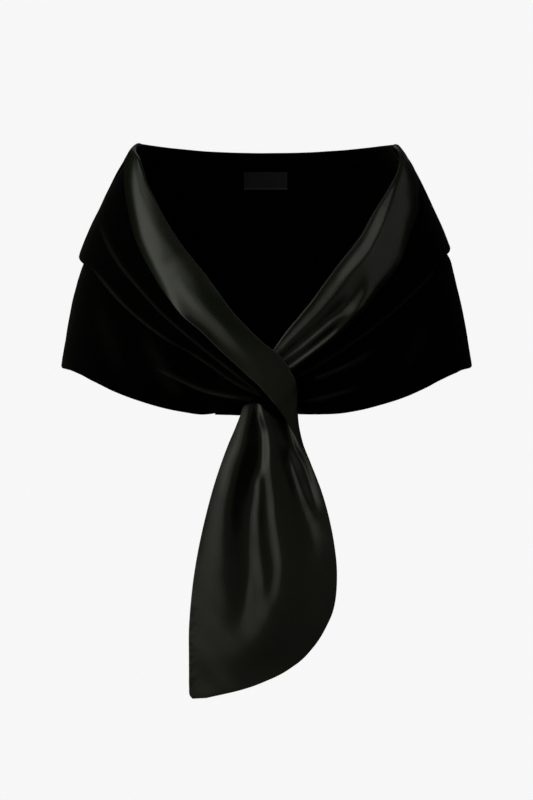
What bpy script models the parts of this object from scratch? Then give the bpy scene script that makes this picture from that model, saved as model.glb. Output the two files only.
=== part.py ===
"""Evening stole, worn shape: a velvet cape with a turned-down collar, satin facings and a pull-through satin tail.

Lengths in the tables are millimetres. The wearer faces -Y, +X is the wearer's left and Z = 0 is where the
stole rests on the shoulders. Every piece of cloth is a wall lofted through stations that run along the
stole, from the side seam to the knot. A station is a line across the cloth, from its neck edge to its low
edge, laid on the form of the body and lifted off it.
"""

import math
from collections import namedtuple

import bmesh
import bpy
import numpy as np

MM = 0.001
SEAM = 0.3  # gap between pieces that are sewn together
WALL = 2.0  # velvet with its backing, satin with its lining
LABEL_WALL = 1.0
LABEL_STAND = 1.5  # the label is held at its ends and stands this far off the back
RING_POWER = 2.3  # level sections of the worn form are super-ellipses of this power
MIDDLE_POWER = 2.5  # how closely a height at the centre of the back keeps to the centre

# Round the back: a value at the wearer's right side, at the centre of the back and at the wearer's left side.
Around = namedtuple("Around", "right back left")
NECK = Around(9.0, -0.7, 7.5)  # height of the neck fold
HEM = Around(-260.8, -271.0, -260.2)
COLLAR_EDGE = Around(-130.5, -139.0, -120.5)  # height of the turned-down collar's low edge
COLLAR_LIFT = Around(9.0, 8.0, 8.0)  # how far that edge stands off the form
FOLD_LIFT = Around(5.0, 5.0, 5.6)  # how far the turned cloth stands off the form at the neck fold
LEVEL = Around(0.0, 0.0, 0.0)
FOLD_RADIUS = 4.0
BODY_INSET = 8.0  # the body's neck edge stops this far under the fold
TUCK = 10.0  # how far a collar lies flat under the facing that is sewn over it
SEAM_STRIP = 0.05  # share of the first face kept as a narrow strip along a side seam, so that it ends square

LABEL_WIDTH, LABEL_HEIGHT = 53.0, 21.0
LABEL_TOP_HEIGHT = -22.0
LABEL_CENTRE_X = -1.0

VELVET = ("velvet", (0.004, 0.004, 0.004), 0.95)
SATIN = ("satin", (0.018, 0.018, 0.016), 0.35)
TAPE = ("woven_tape", (0.03, 0.03, 0.03), 0.8)

Ring = namedtuple("Ring", "height half_width front_depth back_depth")
FORM = (
    Ring(-340, 252.0, 163, 112),
    Ring(-320, 252.0, 163, 112),
    Ring(-292, 250.5, 162, 113),
    Ring(-259, 248.0, 160, 115),
    Ring(-228, 243.2, 157, 117),
    Ring(-204, 238.8, 153, 118),
    Ring(-180, 234.0, 148, 118),
    Ring(-156, 228.0, 140, 118),
    Ring(-144, 224.0, 135, 117),
    Ring(-123, 216.3, 126, 116),
    Ring(-99, 207.2, 114, 115),
    Ring(-75, 196.7, 100, 113),
    Ring(-51, 186.3, 84, 109),
    Ring(-27, 174.7, 68, 104),
    Ring(-15, 168.0, 60, 101),
    Ring(-3, 161.0, 52, 98),
    Ring(6, 153.4, 46, 92),
    Ring(14, 143.5, 40, 88),
)

# One station across a piece: its two ends as seen from the front, how far each end is lifted off the form,
# the extra lift at mid width, the radius of the rolled neck edge (0: cut edge) and how far the cloth stops
# short of the neck edge.
Station = namedtuple("Station", "edge_x edge_z low_x low_z edge_lift low_lift crown roll inset")


def stations(rows, inset=0.0):
    return [Station(*row, *(0.0,) * (8 - len(row)), inset) for row in rows]


RIGHT_FRONT = stations(
    (
        (-150.0, 9.0, -248.0, -260.8, 0, 0, 0),
        (-151.0, -9, -240.0, -263.4, 0, 0, 0),
        (-147.0, -22, -228.6, -267.6, 0, 0, 0),
        (-138.0, -49, -209.0, -277.5, 0, 0, 0),
        (-118.0, -88, -183.5, -289.8, 0, 0, 0),
        (-95.0, -123, -152.0, -301.5, 0, 0, 0),
        (-69.5, -155, -119.4, -310.7, 0, 0, 0),
        (-53.0, -177, -98.0, -314.8, 0, 0, 0),
        (-35.0, -200, -76.0, -317.5, 1, 1, 0),
        (-22.0, -214, -61.0, -316, 4, 5, 0),
        (-8.0, -228, -44.0, -312, 10, 12, 0),
        (7.0, -240, -27.2, -305, 14, 14, 0),
        (20.6, -254, -11.6, -304, 15, 15, 0),
        (27.8, -266, 2.0, -313, 15, 15, 0),
        (33.0, -277, 12.0, -321, 14, 15, 0),
        (34.0, -288, 21.0, -327, 12.5, 13, 0),
    ),
    inset=BODY_INSET,
)
LEFT_FRONT = stations(
    (
        (151.5, 7.5, 248.0, -260.2, 0, 0, 0),
        (159.0, -12, 240.0, -262.9, 0, 0, 0),
        (154.0, -30, 228.6, -267.6, 0, 0, 0),
        (140.0, -56, 209.0, -276.5, 0, 0, 0),
        (125.6, -79, 190.0, -286.3, 0, 0, 0),
        (112.0, -103, 170.0, -295.2, 0, 0, 0),
        (83.4, -140, 137.0, -306, 0, 0, 0),
        (54.2, -180, 107.0, -313.3, 0, 0, 0),
        (36.0, -202, 85.0, -316.5, 0, 0, 0),
        (22.2, -219, 62.0, -317.3, 0, 0, 0),
        (10.2, -236, 38.0, -317, 0, 0, 0),
        (2.0, -247, 24.0, -316, 0, 0, 0),
        (-2.0, -255, 12.0, -313, 0, 0, 0),
    ),
    inset=BODY_INSET,
)
RIGHT_COLLAR = stations(
    (
        (-160.5, -4, -216.0, -130.5, 2.4, 9.0, 1.0),
        (-162.0, -20, -208.0, -143.5, 2.4, 8.0, 1.5),
        (-160.0, -35, -196.0, -159, 2.4, 7.5, 2.0),
        (-155.0, -62, -183.0, -175, 2.4, 7.0, 2.0),
        (-145.0, -104, -165.0, -193.5, 2.4, 6.5, 2.0),
        (-128.0, -142, -144.0, -211.5, 2.4, 6.0, 1.5),
        (-106.0, -176, -121.0, -228.5, 2.6, 5.5, 1.0),
        (-86.0, -196, -101.0, -239, 3.0, 5.5, 0.5),
        (-65.5, -216, -79.0, -253, 4.5, 6.0, 0),
        (-50.0, -232, -62.0, -264.5, 7.5, 8.5, 0),
        (-33.5, -248, -45.0, -277, 13.0, 14.0, 0),
        (-17.0, -264, -27.0, -288, 16.8, 17.2, 0),
        (-1.0, -281, -9.0, -296, 18.0, 18.0, 0),
        (10.0, -293, 4.0, -305, 18.0, 18.0, 0),
        (19.0, -303, 15.0, -313.5, 18.0, 18.0, 0),
        (25.0, -310, 24.0, -320, 17.0, 17.0, 0),
    )
)
LEFT_COLLAR = stations(
    (
        (170.0, -22, 213.0, -120.5, 2.4, 8.0, 1.0),
        (176.0, -45, 205.5, -132.5, 2.4, 7.6, 1.5),
        (172.0, -70, 193.0, -157, 2.4, 7.5, 2.0),
        (167.0, -88, 180.0, -169, 2.4, 7.0, 2.0),
        (161.0, -104, 167.0, -182, 2.4, 6.5, 2.0),
        (153.0, -130, 152.0, -196, 2.4, 6.0, 1.5),
        (143.0, -149, 137.0, -209, 2.4, 6.0, 1.0),
        (125.0, -173, 115.0, -226, 2.4, 6.0, 1.0),
        (106.0, -193, 96.0, -239, 2.4, 5.5, 0.5),
        (86.0, -210, 76.0, -252, 2.4, 5.0, 0),
        (64.5, -227, 57.0, -263.5, 2.4, 4.5, 0),
        (43.5, -242, 39.0, -273.5, 2.4, 4.0, 0),
        (26.0, -257, 24.0, -281, 2.4, 3.0, 0),
    )
)
RIGHT_FACING = stations(
    (
        (-150.0, 9.0, -163.5, -9, 5, 5.0, 0.5, 4),
        (-150.5, -9, -169.0, -27, 6, 5.6, 2.5, 4),
        (-146.0, -22, -169.5, -43, 7, 6.0, 3.4, 4),
        (-137.0, -49, -166.0, -69, 7.8, 6.4, 4.5, 4),
        (-117.0, -88, -156.5, -111, 7.8, 6.6, 5.5, 4),
        (-94.0, -123, -138.0, -147.5, 7.8, 6.6, 5.0, 4),
        (-68.7, -155, -115.5, -181.5, 7.0, 6.8, 3.5, 4),
        (-52.6, -177, -97.0, -203, 7.2, 8.0, 2.5, 3.6),
        (-35.0, -200, -75.0, -222, 9.6, 10.6, 2.0, 3.2),
        (-22.0, -214, -59.0, -238, 12.0, 13.0, 1.5, 2.8),
        (-8.0, -228, -41.5, -254.5, 15.0, 16.0, 1.0, 2.6),
        (7.0, -240, -24.0, -271, 18.5, 19.6, 1.0, 2.6),
        (20.6, -254, -7.0, -287, 20.6, 21.6, 1.0, 2.6),
        (27.8, -266, 3.6, -299.0, 21, 22.0, 1.0, 2.6),
        (34.2, -279, 9.4, -306.5, 21, 22.4, 1.0, 2.6),
        (36.6, -293, 15.4, -314, 20, 21.6, 0.5, 2.6),
        (36.4, -308, 21.0, -322, 19.6, 20.4, 0.3, 2.6),
        (37.4, -326, 27.0, -331.5, 18.6, 19.0, 0.2, 2.6),
        (40.0, -341, 34.0, -344, 17, 17.4, 0, 2.4),
        (42.0, -348, 37.6, -350.4, 15.5, 15.8, 0, 2.4),
    )
)
LEFT_FACING = stations(
    (
        (151.5, 7.5, 173.0, -29, 5, 5.0, 1, 4),
        (159.0, -11, 179.0, -50, 5, 5.4, 2, 4),
        (150.2, -38, 179.0, -74, 5, 5.8, 3, 4),
        (140.2, -56, 174.0, -92, 5, 5.8, 4, 4),
        (125.6, -79, 168.0, -108, 5, 6.0, 5, 4),
        (112.2, -103, 160.0, -134, 5, 6.0, 5, 4),
        (98.0, -122, 149.0, -152, 5, 5.8, 5, 4),
        (83.4, -140, 128.5, -176, 5, 5.6, 4, 4),
        (68.5, -160, 111.5, -198.5, 5, 5.5, 3, 4),
        (54.2, -180, 93.5, -218, 5, 5.4, 3, 4),
        (38.0, -200, 72.0, -236, 5, 5.3, 2, 4),
        (22.2, -219, 50.0, -252, 5, 5.2, 2, 4),
        (10.2, -236, 31.5, -266, 5, 5.0, 1, 4),
        (6.0, -242, 24.0, -269, 5, 5.0, 0, 4),
    )
)
KEEPER = stations(
    (
        (-64.0, -286, -61.8, -317.5, -1.5, -1.0, 0),
        (-46.0, -287, -44.0, -318.0, -1.0, 0.5, 0),
        (-28.0, -287, -27.0, -318.0, -1.0, 0.0, 0),
        (-10.0, -286, -10.0, -313, -3.0, -2.6, 0),
        (10.0, -285, 10.0, -311, -3.5, -3.5, 0),
        (30.0, -285, 30.0, -310, -3.5, -3.5, 0),
    )
)

# The tail hangs free of the form. A row goes from its left to its right side as seen from the front, and its
# middle stands this far ahead of the straight line between them.
TailRow = namedtuple("TailRow", "left_x left_z right_x right_z left_y right_y ahead")
TAIL = (
    TailRow(-18.0, -272, 20.0, -272, -166.5, -166.5, 1.0),
    TailRow(-24.0, -285, 22.0, -285, -167.0, -167.0, 1.0),
    TailRow(-27.2, -305, 32.0, -305, -168.0, -168.5, 1.0),
    TailRow(-36.0, -330, 37.2, -330, -170.0, -171.0, 0.5),
    TailRow(-45.3, -352, 43.2, -351, -171.0, -173.5, 0.0),
    TailRow(-54.3, -376, 53.0, -376, -170.8, -175.5, -0.4),
    TailRow(-64.0, -406, 64.6, -406, -168.8, -178.0, -1.4),
    TailRow(-72.5, -438, 74.0, -438, -166.0, -180.0, -1.6),
    TailRow(-80.6, -474, 81.0, -474, -163.0, -182.0, -0.2),
    TailRow(-86.8, -510, 84.1, -508, -160.5, -183.5, 2.4),
    TailRow(-90.3, -540, 82.0, -540, -158.8, -184.0, 4.4),
    TailRow(-92.8, -576, 72.6, -568, -157.5, -183.0, 5.0),
    TailRow(-92.8, -604, 56.2, -594.6, -157.5, -179.5, 4.2),
    TailRow(-92.7, -626, 34.5, -616, -157.5, -176.5, 2.6),
    TailRow(-92.6, -641.5, 5.0, -633, -157.5, -174.0, 1.2),
    TailRow(-91.4, -653.4, -38.0, -648.2, -158.0, -168.0, 0.4),
    TailRow(-88.3, -656.8, -72.0, -655.8, -158.5, -162.0, 0.0),
)

# A fold follows a line seen from the front. It lifts the cloth along the line and fades over the two
# reaches, to the left and to the right of the line's way.
Fold = namedtuple("Fold", "x z lift left_reach right_reach")
COLLAR_PLEAT = (
    Fold(-203, -78, 0.0, 18, 10),
    Fold(-194, -108, 0.9, 18, 7),
    Fold(-176, -139, 1.3, 16, 5),
    Fold(-152, -168, 1.5, 14, 4),
    Fold(-124.6, -197.6, 1.6, 13, 4),
    Fold(-86, -231, 1.6, 10, 4),
    Fold(-48, -261.6, 1.4, 8, 4),
    Fold(-12, -290, 1.0, 6, 4),
)
RIGHT_BODY_FOLD_OUT = (
    Fold(-204, -165, 0.0, 9, 9),
    Fold(-196, -200, 2.4, 9, 9),
    Fold(-186, -238, 2.0, 10, 10),
    Fold(-174, -270, 0.0, 10, 10),
)
RIGHT_BODY_FOLD_MID = (
    Fold(-152, -214, 0.0, 9, 9),
    Fold(-134, -246, 2.6, 9, 9),
    Fold(-112, -280, 2.2, 9, 9),
    Fold(-94, -302, 0.0, 9, 9),
)
RIGHT_BODY_PLEAT = (
    Fold(-150, -258, 0.0, 12, 9),
    Fold(-118, -270, 2.0, 11, 5),
    Fold(-80, -288, 2.6, 10, 4),
    Fold(-50, -296, 2.0, 8, 4),
    Fold(-20, -300, 0.0, 6, 4),
)
LEFT_BODY_FOLD_OUT = (
    Fold(156, -276, 0.0, 9, 9),
    Fold(168, -256, 2.2, 9, 9),
    Fold(184, -226, 2.2, 9, 9),
    Fold(192, -206, 0.0, 9, 9),
)
LEFT_BODY_FOLD_MID = (
    Fold(52, -276, 1.0, 7, 5),
    Fold(80, -266, 2.4, 8, 6),
    Fold(112, -250, 2.2, 9, 8),
    Fold(142, -230, 0.0, 9, 9),
)
LEFT_BODY_PLEAT = (
    Fold(40, -303, 1.0, 7, 4),
    Fold(62, -298, 2.2, 9, 5),
    Fold(92, -290, 2.0, 10, 7),
    Fold(124, -280, 0.0, 11, 10),
)
RIGHT_FACING_STEP = (
    Fold(-114.5, -134.7, 0.0, 40, 16),
    Fold(-90.7, -167.8, 4.6, 40, 15),
    Fold(-72.6, -188.7, 5.6, 40, 14),
    Fold(-53, -209.9, 4.6, 38, 13),
    Fold(-23.1, -239.9, 1.6, 34, 12),
    Fold(8.2, -268.9, 0.0, 30, 12),
)
LEFT_FACING_RIDGE = (
    Fold(32, -262, 2.0, 6, 4),
    Fold(64, -236, 2.8, 7, 5),
    Fold(96, -205, 3.2, 9, 7),
    Fold(118, -180, 2.0, 12, 9),
    Fold(132, -155, 0.0, 14, 12),
)
LEFT_FACING_TROUGH = (
    Fold(20, -240, -1.2, 5, 5),
    Fold(50, -208, -1.4, 7, 7),
    Fold(82, -176, -1.2, 10, 10),
    Fold(102, -146, 0.0, 12, 12),
)
TAIL_LEFT_RIDGE = (
    Fold(-21, -318, 3.2, 8, 9),
    Fold(-25, -338, 4.6, 10, 10),
    Fold(-36, -378, 7.0, 14, 14),
    Fold(-45, -418, 6.4, 14, 15),
    Fold(-49, -458, 6.0, 15, 18),
    Fold(-50, -498, 4.8, 17, 24),
    Fold(-50, -540, 2.6, 20, 28),
    Fold(-50, -590, 0.0, 22, 28),
)
TAIL_CENTRE_RIDGE = (
    Fold(-3.5, -318, 3.6, 12, 7),
    Fold(2.5, -338, 2.8, 13, 8),
    Fold(5, -378, 3.2, 16, 9),
    Fold(9.5, -418, 3.0, 20, 9),
    Fold(14, -458, 2.6, 24, 9),
    Fold(19, -498, 2.5, 24, 10),
    Fold(14, -538, 3.0, 26, 14),
    Fold(-5, -578, 3.0, 30, 22),
    Fold(-42, -618, 0.8, 32, 26),
    Fold(-60, -638, 0.0, 32, 26),
)
TAIL_RIGHT_TROUGH = (
    Fold(20, -304, 0.0, 7, 8),
    Fold(27, -338, -3.0, 7, 10),
    Fold(33, -358, -4.0, 8, 11),
    Fold(43.5, -378, -3.6, 8, 11),
    Fold(50.5, -398, -2.8, 8, 10),
    Fold(56, -418, -1.6, 8, 9),
    Fold(62, -438, 0.0, 8, 8),
)

FRONT_MESH = (25, 10)  # faces along and across each piece
COLLAR_MESH = (24, 8)
FACING_MESH = (28, 4)
ROLL_FACES = 4
BACK_MESH = (22, 6)
COLLAR_BACK_MESH = (22, 4)
TAIL_MESH = (26, 14)
KEEPER_MESH = (8, 2)
LABEL_MESH = (6, 1)


def curve(knots, values, at):
    """Smooth curve through values at rising knots, read at the given places."""
    knots = np.asarray(knots, float)
    values = np.asarray(values, float)
    step = np.diff(knots)
    rise = np.diff(values) / step
    slope = np.empty_like(values)
    slope[1:-1] = (rise[:-1] * step[1:] + rise[1:] * step[:-1]) / (step[:-1] + step[1:])
    slope[0], slope[-1] = rise[0], rise[-1]
    at = np.clip(at, knots[0], knots[-1])
    i = np.clip(np.searchsorted(knots, at, side="right") - 1, 0, len(step) - 1)
    t = (at - knots[i]) / step[i]
    from_start = (1 + 2 * t) * (1 - t) ** 2 * values[i] + t * (1 - t) ** 2 * step[i] * slope[i]
    from_end = t * t * (3 - 2 * t) * values[i + 1] + t * t * (t - 1) * step[i] * slope[i + 1]
    return from_start + from_end


def column(rows, name):
    return np.array([getattr(row, name) for row in rows], float)


def form_size(name, height):
    return curve(column(FORM, "height"), column(FORM, name), height)


def form_angle(x, height):
    """Angle round the form, 0 at the front and negative on the wearer's right, where the front has this x."""
    share = np.clip(np.abs(x) / form_size("half_width", height), 0, 1)
    return np.sign(x) * np.arcsin(share ** (RING_POWER / 2))


def form_point(angle, height):
    across, towards = np.sin(angle), np.cos(angle)
    power = 2 / RING_POWER
    front, back = form_size("front_depth", height), form_size("back_depth", height)
    depth = np.where(towards > 0, front, back)
    x = form_size("half_width", height) * np.sign(across) * np.abs(across) ** power
    y = -depth * np.sign(towards) * np.abs(towards) ** power
    return np.stack([x, y, np.broadcast_to(height, x.shape)], axis=-1)


def form_normal(angle, height):
    turn, climb = 0.02, 2.0
    round_it = form_point(angle + turn, height) - form_point(angle - turn, height)
    up_it = form_point(angle, height + climb) - form_point(angle, height - climb)
    normal = np.cross(round_it, up_it)
    return normal / np.linalg.norm(normal, axis=-1, keepdims=True)


def fold_lift(x, z, folds):
    """Sum of the folds' lifts at the places x, z seen from the front."""
    total = np.zeros(np.shape(x))
    for fold in folds:
        knots = np.arange(len(fold), dtype=float)
        at = np.linspace(0, knots[-1], 12 * len(fold))
        line = {name: curve(knots, column(fold, name), at) for name in Fold._fields}
        way_x, way_z = np.gradient(line["x"]), np.gradient(line["z"])
        length = np.hypot(way_x, way_z)
        off_x = x[..., None] - line["x"]
        off_z = z[..., None] - line["z"]
        nearest = np.argmin(off_x**2 + off_z**2, axis=-1)
        pick = np.arange(x.size).reshape(x.shape)
        near_x = off_x.reshape(x.size, -1)[pick, nearest]
        near_z = off_z.reshape(x.size, -1)[pick, nearest]
        to_left = (way_x[nearest] * near_z - way_z[nearest] * near_x) / length[nearest]
        past_end = np.abs(way_x[nearest] * near_x + way_z[nearest] * near_z) / length[nearest]
        reach = np.where(to_left > 0, line["left_reach"][nearest], line["right_reach"][nearest])
        total += line["lift"][nearest] * np.exp(-(to_left**2 + past_end**2) / reach**2)
    return total


def station_spacing(rows):
    """Rising distances of the stations' middles along the form."""
    x = (column(rows, "edge_x") + column(rows, "low_x")) / 2
    z = (column(rows, "edge_z") + column(rows, "low_z")) / 2
    middle = form_point(form_angle(x, z), z)
    return np.concatenate([[0], np.cumsum(np.linalg.norm(np.diff(middle, axis=0), axis=-1))])


def row_angles(rows, end, from_seam):
    """Angles round the form of one end of the stations. The first station may lie on a side seam."""
    angles = form_angle(column(rows, end + "_x"), column(rows, end + "_z"))
    if from_seam:
        angles[0] = np.sign(rows[0].edge_x) * math.pi / 2
    return angles


def cloth_points(rows, mesh, folds=(), roll_faces=0, from_seam=True, tuck=0.0):
    """Grid of points of one piece on the form: rows along the stole, columns from neck edge to low edge."""
    along, across = mesh
    knots = station_spacing(rows)
    at = np.linspace(0, knots[-1], along + 1)
    if from_seam:
        at = np.insert(at, 1, at[1] * SEAM_STRIP)
    read = {name: curve(knots, column(rows, name), at)[:, None] for name in Station._fields}
    edge_angle = curve(knots, row_angles(rows, "edge", from_seam), at)[:, None]
    low_angle = curve(knots, row_angles(rows, "low", from_seam), at)[:, None]
    length = np.hypot(read["low_x"] - read["edge_x"], read["low_z"] - read["edge_z"])
    start = (read["inset"] + read["roll"]) / length
    share = start + (1 - start) * np.linspace(0, 1, across + 1)[None, :]
    angle = edge_angle + (low_angle - edge_angle) * share
    height = read["edge_z"] + (read["low_z"] - read["edge_z"]) * share
    free = np.clip((share * length - tuck) / (length - tuck), 0, 1)
    lift = read["edge_lift"] + (read["low_lift"] - read["edge_lift"]) * free
    lift = lift + read["crown"] * 4 * free * (1 - free)
    base = form_point(angle, height)
    lift = lift + fold_lift(base[..., 0], base[..., 2], folds)
    normal = form_normal(angle, height)
    points = base + normal * lift[..., None]
    if roll_faces:
        roll = rolled_edge(points, normal[:, 0], read["roll"], roll_faces)
        points = np.concatenate([roll, points], axis=1)
    return points


def rolled_edge(points, outward, radius, faces):
    """Half-round roll before the first column, back towards the form, on a piece whose edge is turned in."""
    across = points[:, 1] - points[:, 0]
    across -= outward * np.sum(across * outward, axis=-1, keepdims=True)
    across /= np.linalg.norm(across, axis=-1, keepdims=True)
    centre = points[:, 0] - outward * radius
    turns = np.linspace(math.pi, 0, faces + 1)[:-1]
    ring = [centre + radius * (math.cos(t) * outward - math.sin(t) * across) for t in turns]
    return np.stack(ring, axis=1)


def ring_points(mesh, top, low, top_lift, low_lift, inset=0.0, roll=0.0):
    """Grid of points of a piece round the back, between its top and its low edge."""
    along, across = mesh
    turn = np.linspace(0, 1, along + 1)
    strip = turn[1] * SEAM_STRIP
    turn = np.concatenate([[0, strip], turn[1:-1], [1 - strip, 1]])[:, None]
    angle = math.pi / 2 + math.pi * turn
    middle = np.abs(np.cos(angle)) ** MIDDLE_POWER

    def around(values):
        side = values.left + (values.right - values.left) * turn
        return side + (values.back - side) * middle

    start = (inset + roll) / (around(top) - around(low))
    share = start + (1 - start) * np.linspace(0, 1, across + 1)[None, :]
    height = around(top) + (around(low) - around(top)) * share
    lift = around(top_lift) + (around(low_lift) - around(top_lift)) * share
    angle = np.broadcast_to(angle, height.shape)
    normal = form_normal(angle, height)
    points = form_point(angle, height) + normal * lift[..., None]
    if roll:
        points = np.concatenate([rolled_edge(points, normal[:, 0], roll, ROLL_FACES), points], axis=1)
    return points


def tail_points():
    along, across = TAIL_MESH
    knots = np.concatenate([[0], np.cumsum(np.abs(np.diff(column(TAIL, "left_z"))) + 4)])
    at = np.linspace(0, knots[-1], along + 1)
    read = {name: curve(knots, column(TAIL, name), at)[:, None] for name in TailRow._fields}
    share = np.linspace(0, 1, across + 1)[None, :]
    x = read["left_x"] + (read["right_x"] - read["left_x"]) * share
    z = read["left_z"] + (read["right_z"] - read["left_z"]) * share
    y = read["left_y"] + (read["right_y"] - read["left_y"]) * share - read["ahead"] * 4 * share * (1 - share)
    y = y - fold_lift(x, z, (TAIL_LEFT_RIDGE, TAIL_CENTRE_RIDGE, TAIL_RIGHT_TROUGH))
    return np.stack([x, y, z], axis=-1)


def label_points():
    along, across = LABEL_MESH
    x = LABEL_CENTRE_X + LABEL_WIDTH * np.linspace(-0.5, 0.5, along + 1)[:, None]
    height = LABEL_TOP_HEIGHT - LABEL_HEIGHT * np.linspace(0, 1, across + 1)[None, :]
    x, height = np.broadcast_arrays(x, height)
    angle = math.pi - form_angle(x, height)
    inside = WALL + LABEL_STAND + LABEL_WALL
    return form_point(angle, height) - form_normal(angle, height) * inside


def open_seams(points, front):
    """Holds the two ends of a side seam apart and squares the narrow strip beside each."""
    gap = -SEAM / 2 if front else SEAM / 2
    for end, strip in ((0, 1),) if front else ((0, 1), (-1, -2)):
        points[end, :, 1] = gap
        points[strip, :, 0] = points[end, :, 0]
        points[strip, :, 2] = points[end, :, 2]
    return points


def velvet_or_satin(finish):
    name, colour, roughness = finish
    material = bpy.data.materials.get(name) or bpy.data.materials.new(name)
    material.use_nodes = True
    shader = material.node_tree.nodes["Principled BSDF"]
    shader.inputs["Base Color"].default_value = (*colour, 1)
    shader.inputs["Roughness"].default_value = roughness
    shader.inputs["Metallic"].default_value = 0
    return material


def sew(collection, name, points, finish, wall=WALL, turned=False):
    """Makes a named wall of cloth from a grid of outer points. turned: its ways run the other way round."""
    rows, columns = points.shape[:2]
    shape = bmesh.new()
    corners = [[shape.verts.new(points[i, j] * MM) for j in range(columns)] for i in range(rows)]
    for i in range(rows - 1):
        for j in range(columns - 1):
            face = [corners[i][j], corners[i][j + 1], corners[i + 1][j + 1], corners[i + 1][j]]
            shape.faces.new(face[::-1] if turned else face)
    mesh = bpy.data.meshes.new(name)
    shape.to_mesh(mesh)
    shape.free()
    mesh.shade_smooth()
    mesh.materials.append(velvet_or_satin(finish))
    piece = bpy.data.objects.new(name, mesh)
    thicken = piece.modifiers.new("wall", "SOLIDIFY")
    thicken.thickness = wall * MM
    thicken.offset = -1
    collection.objects.link(piece)
    return piece


def clear_scene():
    for thing in list(bpy.data.objects):
        bpy.data.objects.remove(thing)


def make_body(collection):
    back = ring_points(BACK_MESH, NECK, HEM, LEVEL, LEVEL, inset=BODY_INSET)
    sew(collection, "back", open_seams(back, front=False), VELVET)
    right_folds = (RIGHT_BODY_FOLD_OUT, RIGHT_BODY_FOLD_MID, RIGHT_BODY_PLEAT)
    right = cloth_points(RIGHT_FRONT, FRONT_MESH, right_folds)
    sew(collection, "right_front", open_seams(right, front=True), VELVET)
    left_folds = (LEFT_BODY_FOLD_OUT, LEFT_BODY_FOLD_MID, LEFT_BODY_PLEAT)
    left = cloth_points(LEFT_FRONT, FRONT_MESH, left_folds)
    sew(collection, "left_front", open_seams(left, front=True), VELVET, turned=True)
    keeper = cloth_points(KEEPER, KEEPER_MESH, from_seam=False)
    sew(collection, "keeper", keeper, VELVET)


def make_collar(collection):
    back = ring_points(COLLAR_BACK_MESH, NECK, COLLAR_EDGE, FOLD_LIFT, COLLAR_LIFT, roll=FOLD_RADIUS)
    sew(collection, "collar_back", open_seams(back, front=False), VELVET)
    right = cloth_points(RIGHT_COLLAR, COLLAR_MESH, (COLLAR_PLEAT,), tuck=TUCK)
    sew(collection, "right_collar", open_seams(right, front=True), VELVET)
    left = cloth_points(LEFT_COLLAR, COLLAR_MESH, tuck=TUCK)
    sew(collection, "left_collar", open_seams(left, front=True), VELVET, turned=True)


def make_facings(collection):
    right = cloth_points(RIGHT_FACING, FACING_MESH, (RIGHT_FACING_STEP,), roll_faces=ROLL_FACES)
    sew(collection, "right_facing", open_seams(right, front=True), SATIN)
    folds = (LEFT_FACING_RIDGE, LEFT_FACING_TROUGH)
    left = cloth_points(LEFT_FACING, FACING_MESH, folds, roll_faces=ROLL_FACES)
    sew(collection, "left_facing", open_seams(left, front=True), SATIN, turned=True)


def make_tail(collection):
    sew(collection, "tail", tail_points(), SATIN, turned=True)


def make_label(collection):
    sew(collection, "label", label_points(), TAPE, wall=LABEL_WALL)


def main():
    clear_scene()
    collection = bpy.data.collections.new("evening_stole")
    bpy.context.scene.collection.children.link(collection)
    make_body(collection)
    make_collar(collection)
    make_facings(collection)
    make_tail(collection)
    make_label(collection)


main()
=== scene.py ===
"""Evening stole: the visible cloth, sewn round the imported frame, with its finishes and the studio.

Lengths in the tables are millimetres. The wearer faces -Y, +X is the wearer's left and Z = 0 is where the
stole rests on the shoulders. A piece of cloth is a thin wall lofted through stations that run along the
stole, from the side seam to the knot. A station is a line across the cloth, from its neck edge to its low
edge, laid on the worn form and lifted off it. Creases are soft ridges and troughs along lines of their own.
"""

import math
from collections import namedtuple

import bpy
import numpy as np
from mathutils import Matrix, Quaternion, Vector


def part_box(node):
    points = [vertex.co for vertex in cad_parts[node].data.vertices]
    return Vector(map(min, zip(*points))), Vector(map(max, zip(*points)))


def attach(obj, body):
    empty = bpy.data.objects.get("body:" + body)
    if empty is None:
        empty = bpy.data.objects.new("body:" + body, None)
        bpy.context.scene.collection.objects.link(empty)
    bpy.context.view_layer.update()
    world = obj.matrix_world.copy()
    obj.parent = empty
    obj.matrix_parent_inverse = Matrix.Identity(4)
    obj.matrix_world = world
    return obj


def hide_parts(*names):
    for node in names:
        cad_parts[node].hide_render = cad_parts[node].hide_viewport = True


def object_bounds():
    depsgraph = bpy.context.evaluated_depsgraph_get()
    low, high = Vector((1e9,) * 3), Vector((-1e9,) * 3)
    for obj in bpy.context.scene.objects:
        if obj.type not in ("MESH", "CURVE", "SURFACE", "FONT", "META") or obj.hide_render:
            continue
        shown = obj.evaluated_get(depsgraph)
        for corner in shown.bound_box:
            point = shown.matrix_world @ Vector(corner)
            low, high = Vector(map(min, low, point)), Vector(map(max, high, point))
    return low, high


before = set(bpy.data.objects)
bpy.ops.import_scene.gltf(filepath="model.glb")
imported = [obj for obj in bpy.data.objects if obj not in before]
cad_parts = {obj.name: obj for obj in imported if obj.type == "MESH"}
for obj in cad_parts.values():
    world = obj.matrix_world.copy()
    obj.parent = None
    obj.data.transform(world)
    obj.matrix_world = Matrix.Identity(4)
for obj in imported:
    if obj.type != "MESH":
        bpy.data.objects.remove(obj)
CAD_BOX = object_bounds()

bl_info = {
    "name": "Evening stole",
    "version": (1, 0, 0),
    "blender": (4, 5, 0),
    "location": "3D View > Sidebar > Stole",
    "description": "Sews a velvet evening stole with satin facings and a satin tail, and sets up its studio",
    "category": "Object",
}

MM = 0.001
PAINTED_HIGHLIGHT = "nap"  # the mesh attribute that holds the painted highlight along the velvet's creases and the label's turned-in edges

# ---------------------------------------------------------------------------------------------------------
# The worn form and the cut of each piece
# ---------------------------------------------------------------------------------------------------------

RING_POWER = 2.3  # level sections of the worn form are super-ellipses of this power
SEAM_STRIP = 0.1  # share of the first face kept as a narrow strip along a side seam, so that it ends square

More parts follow.
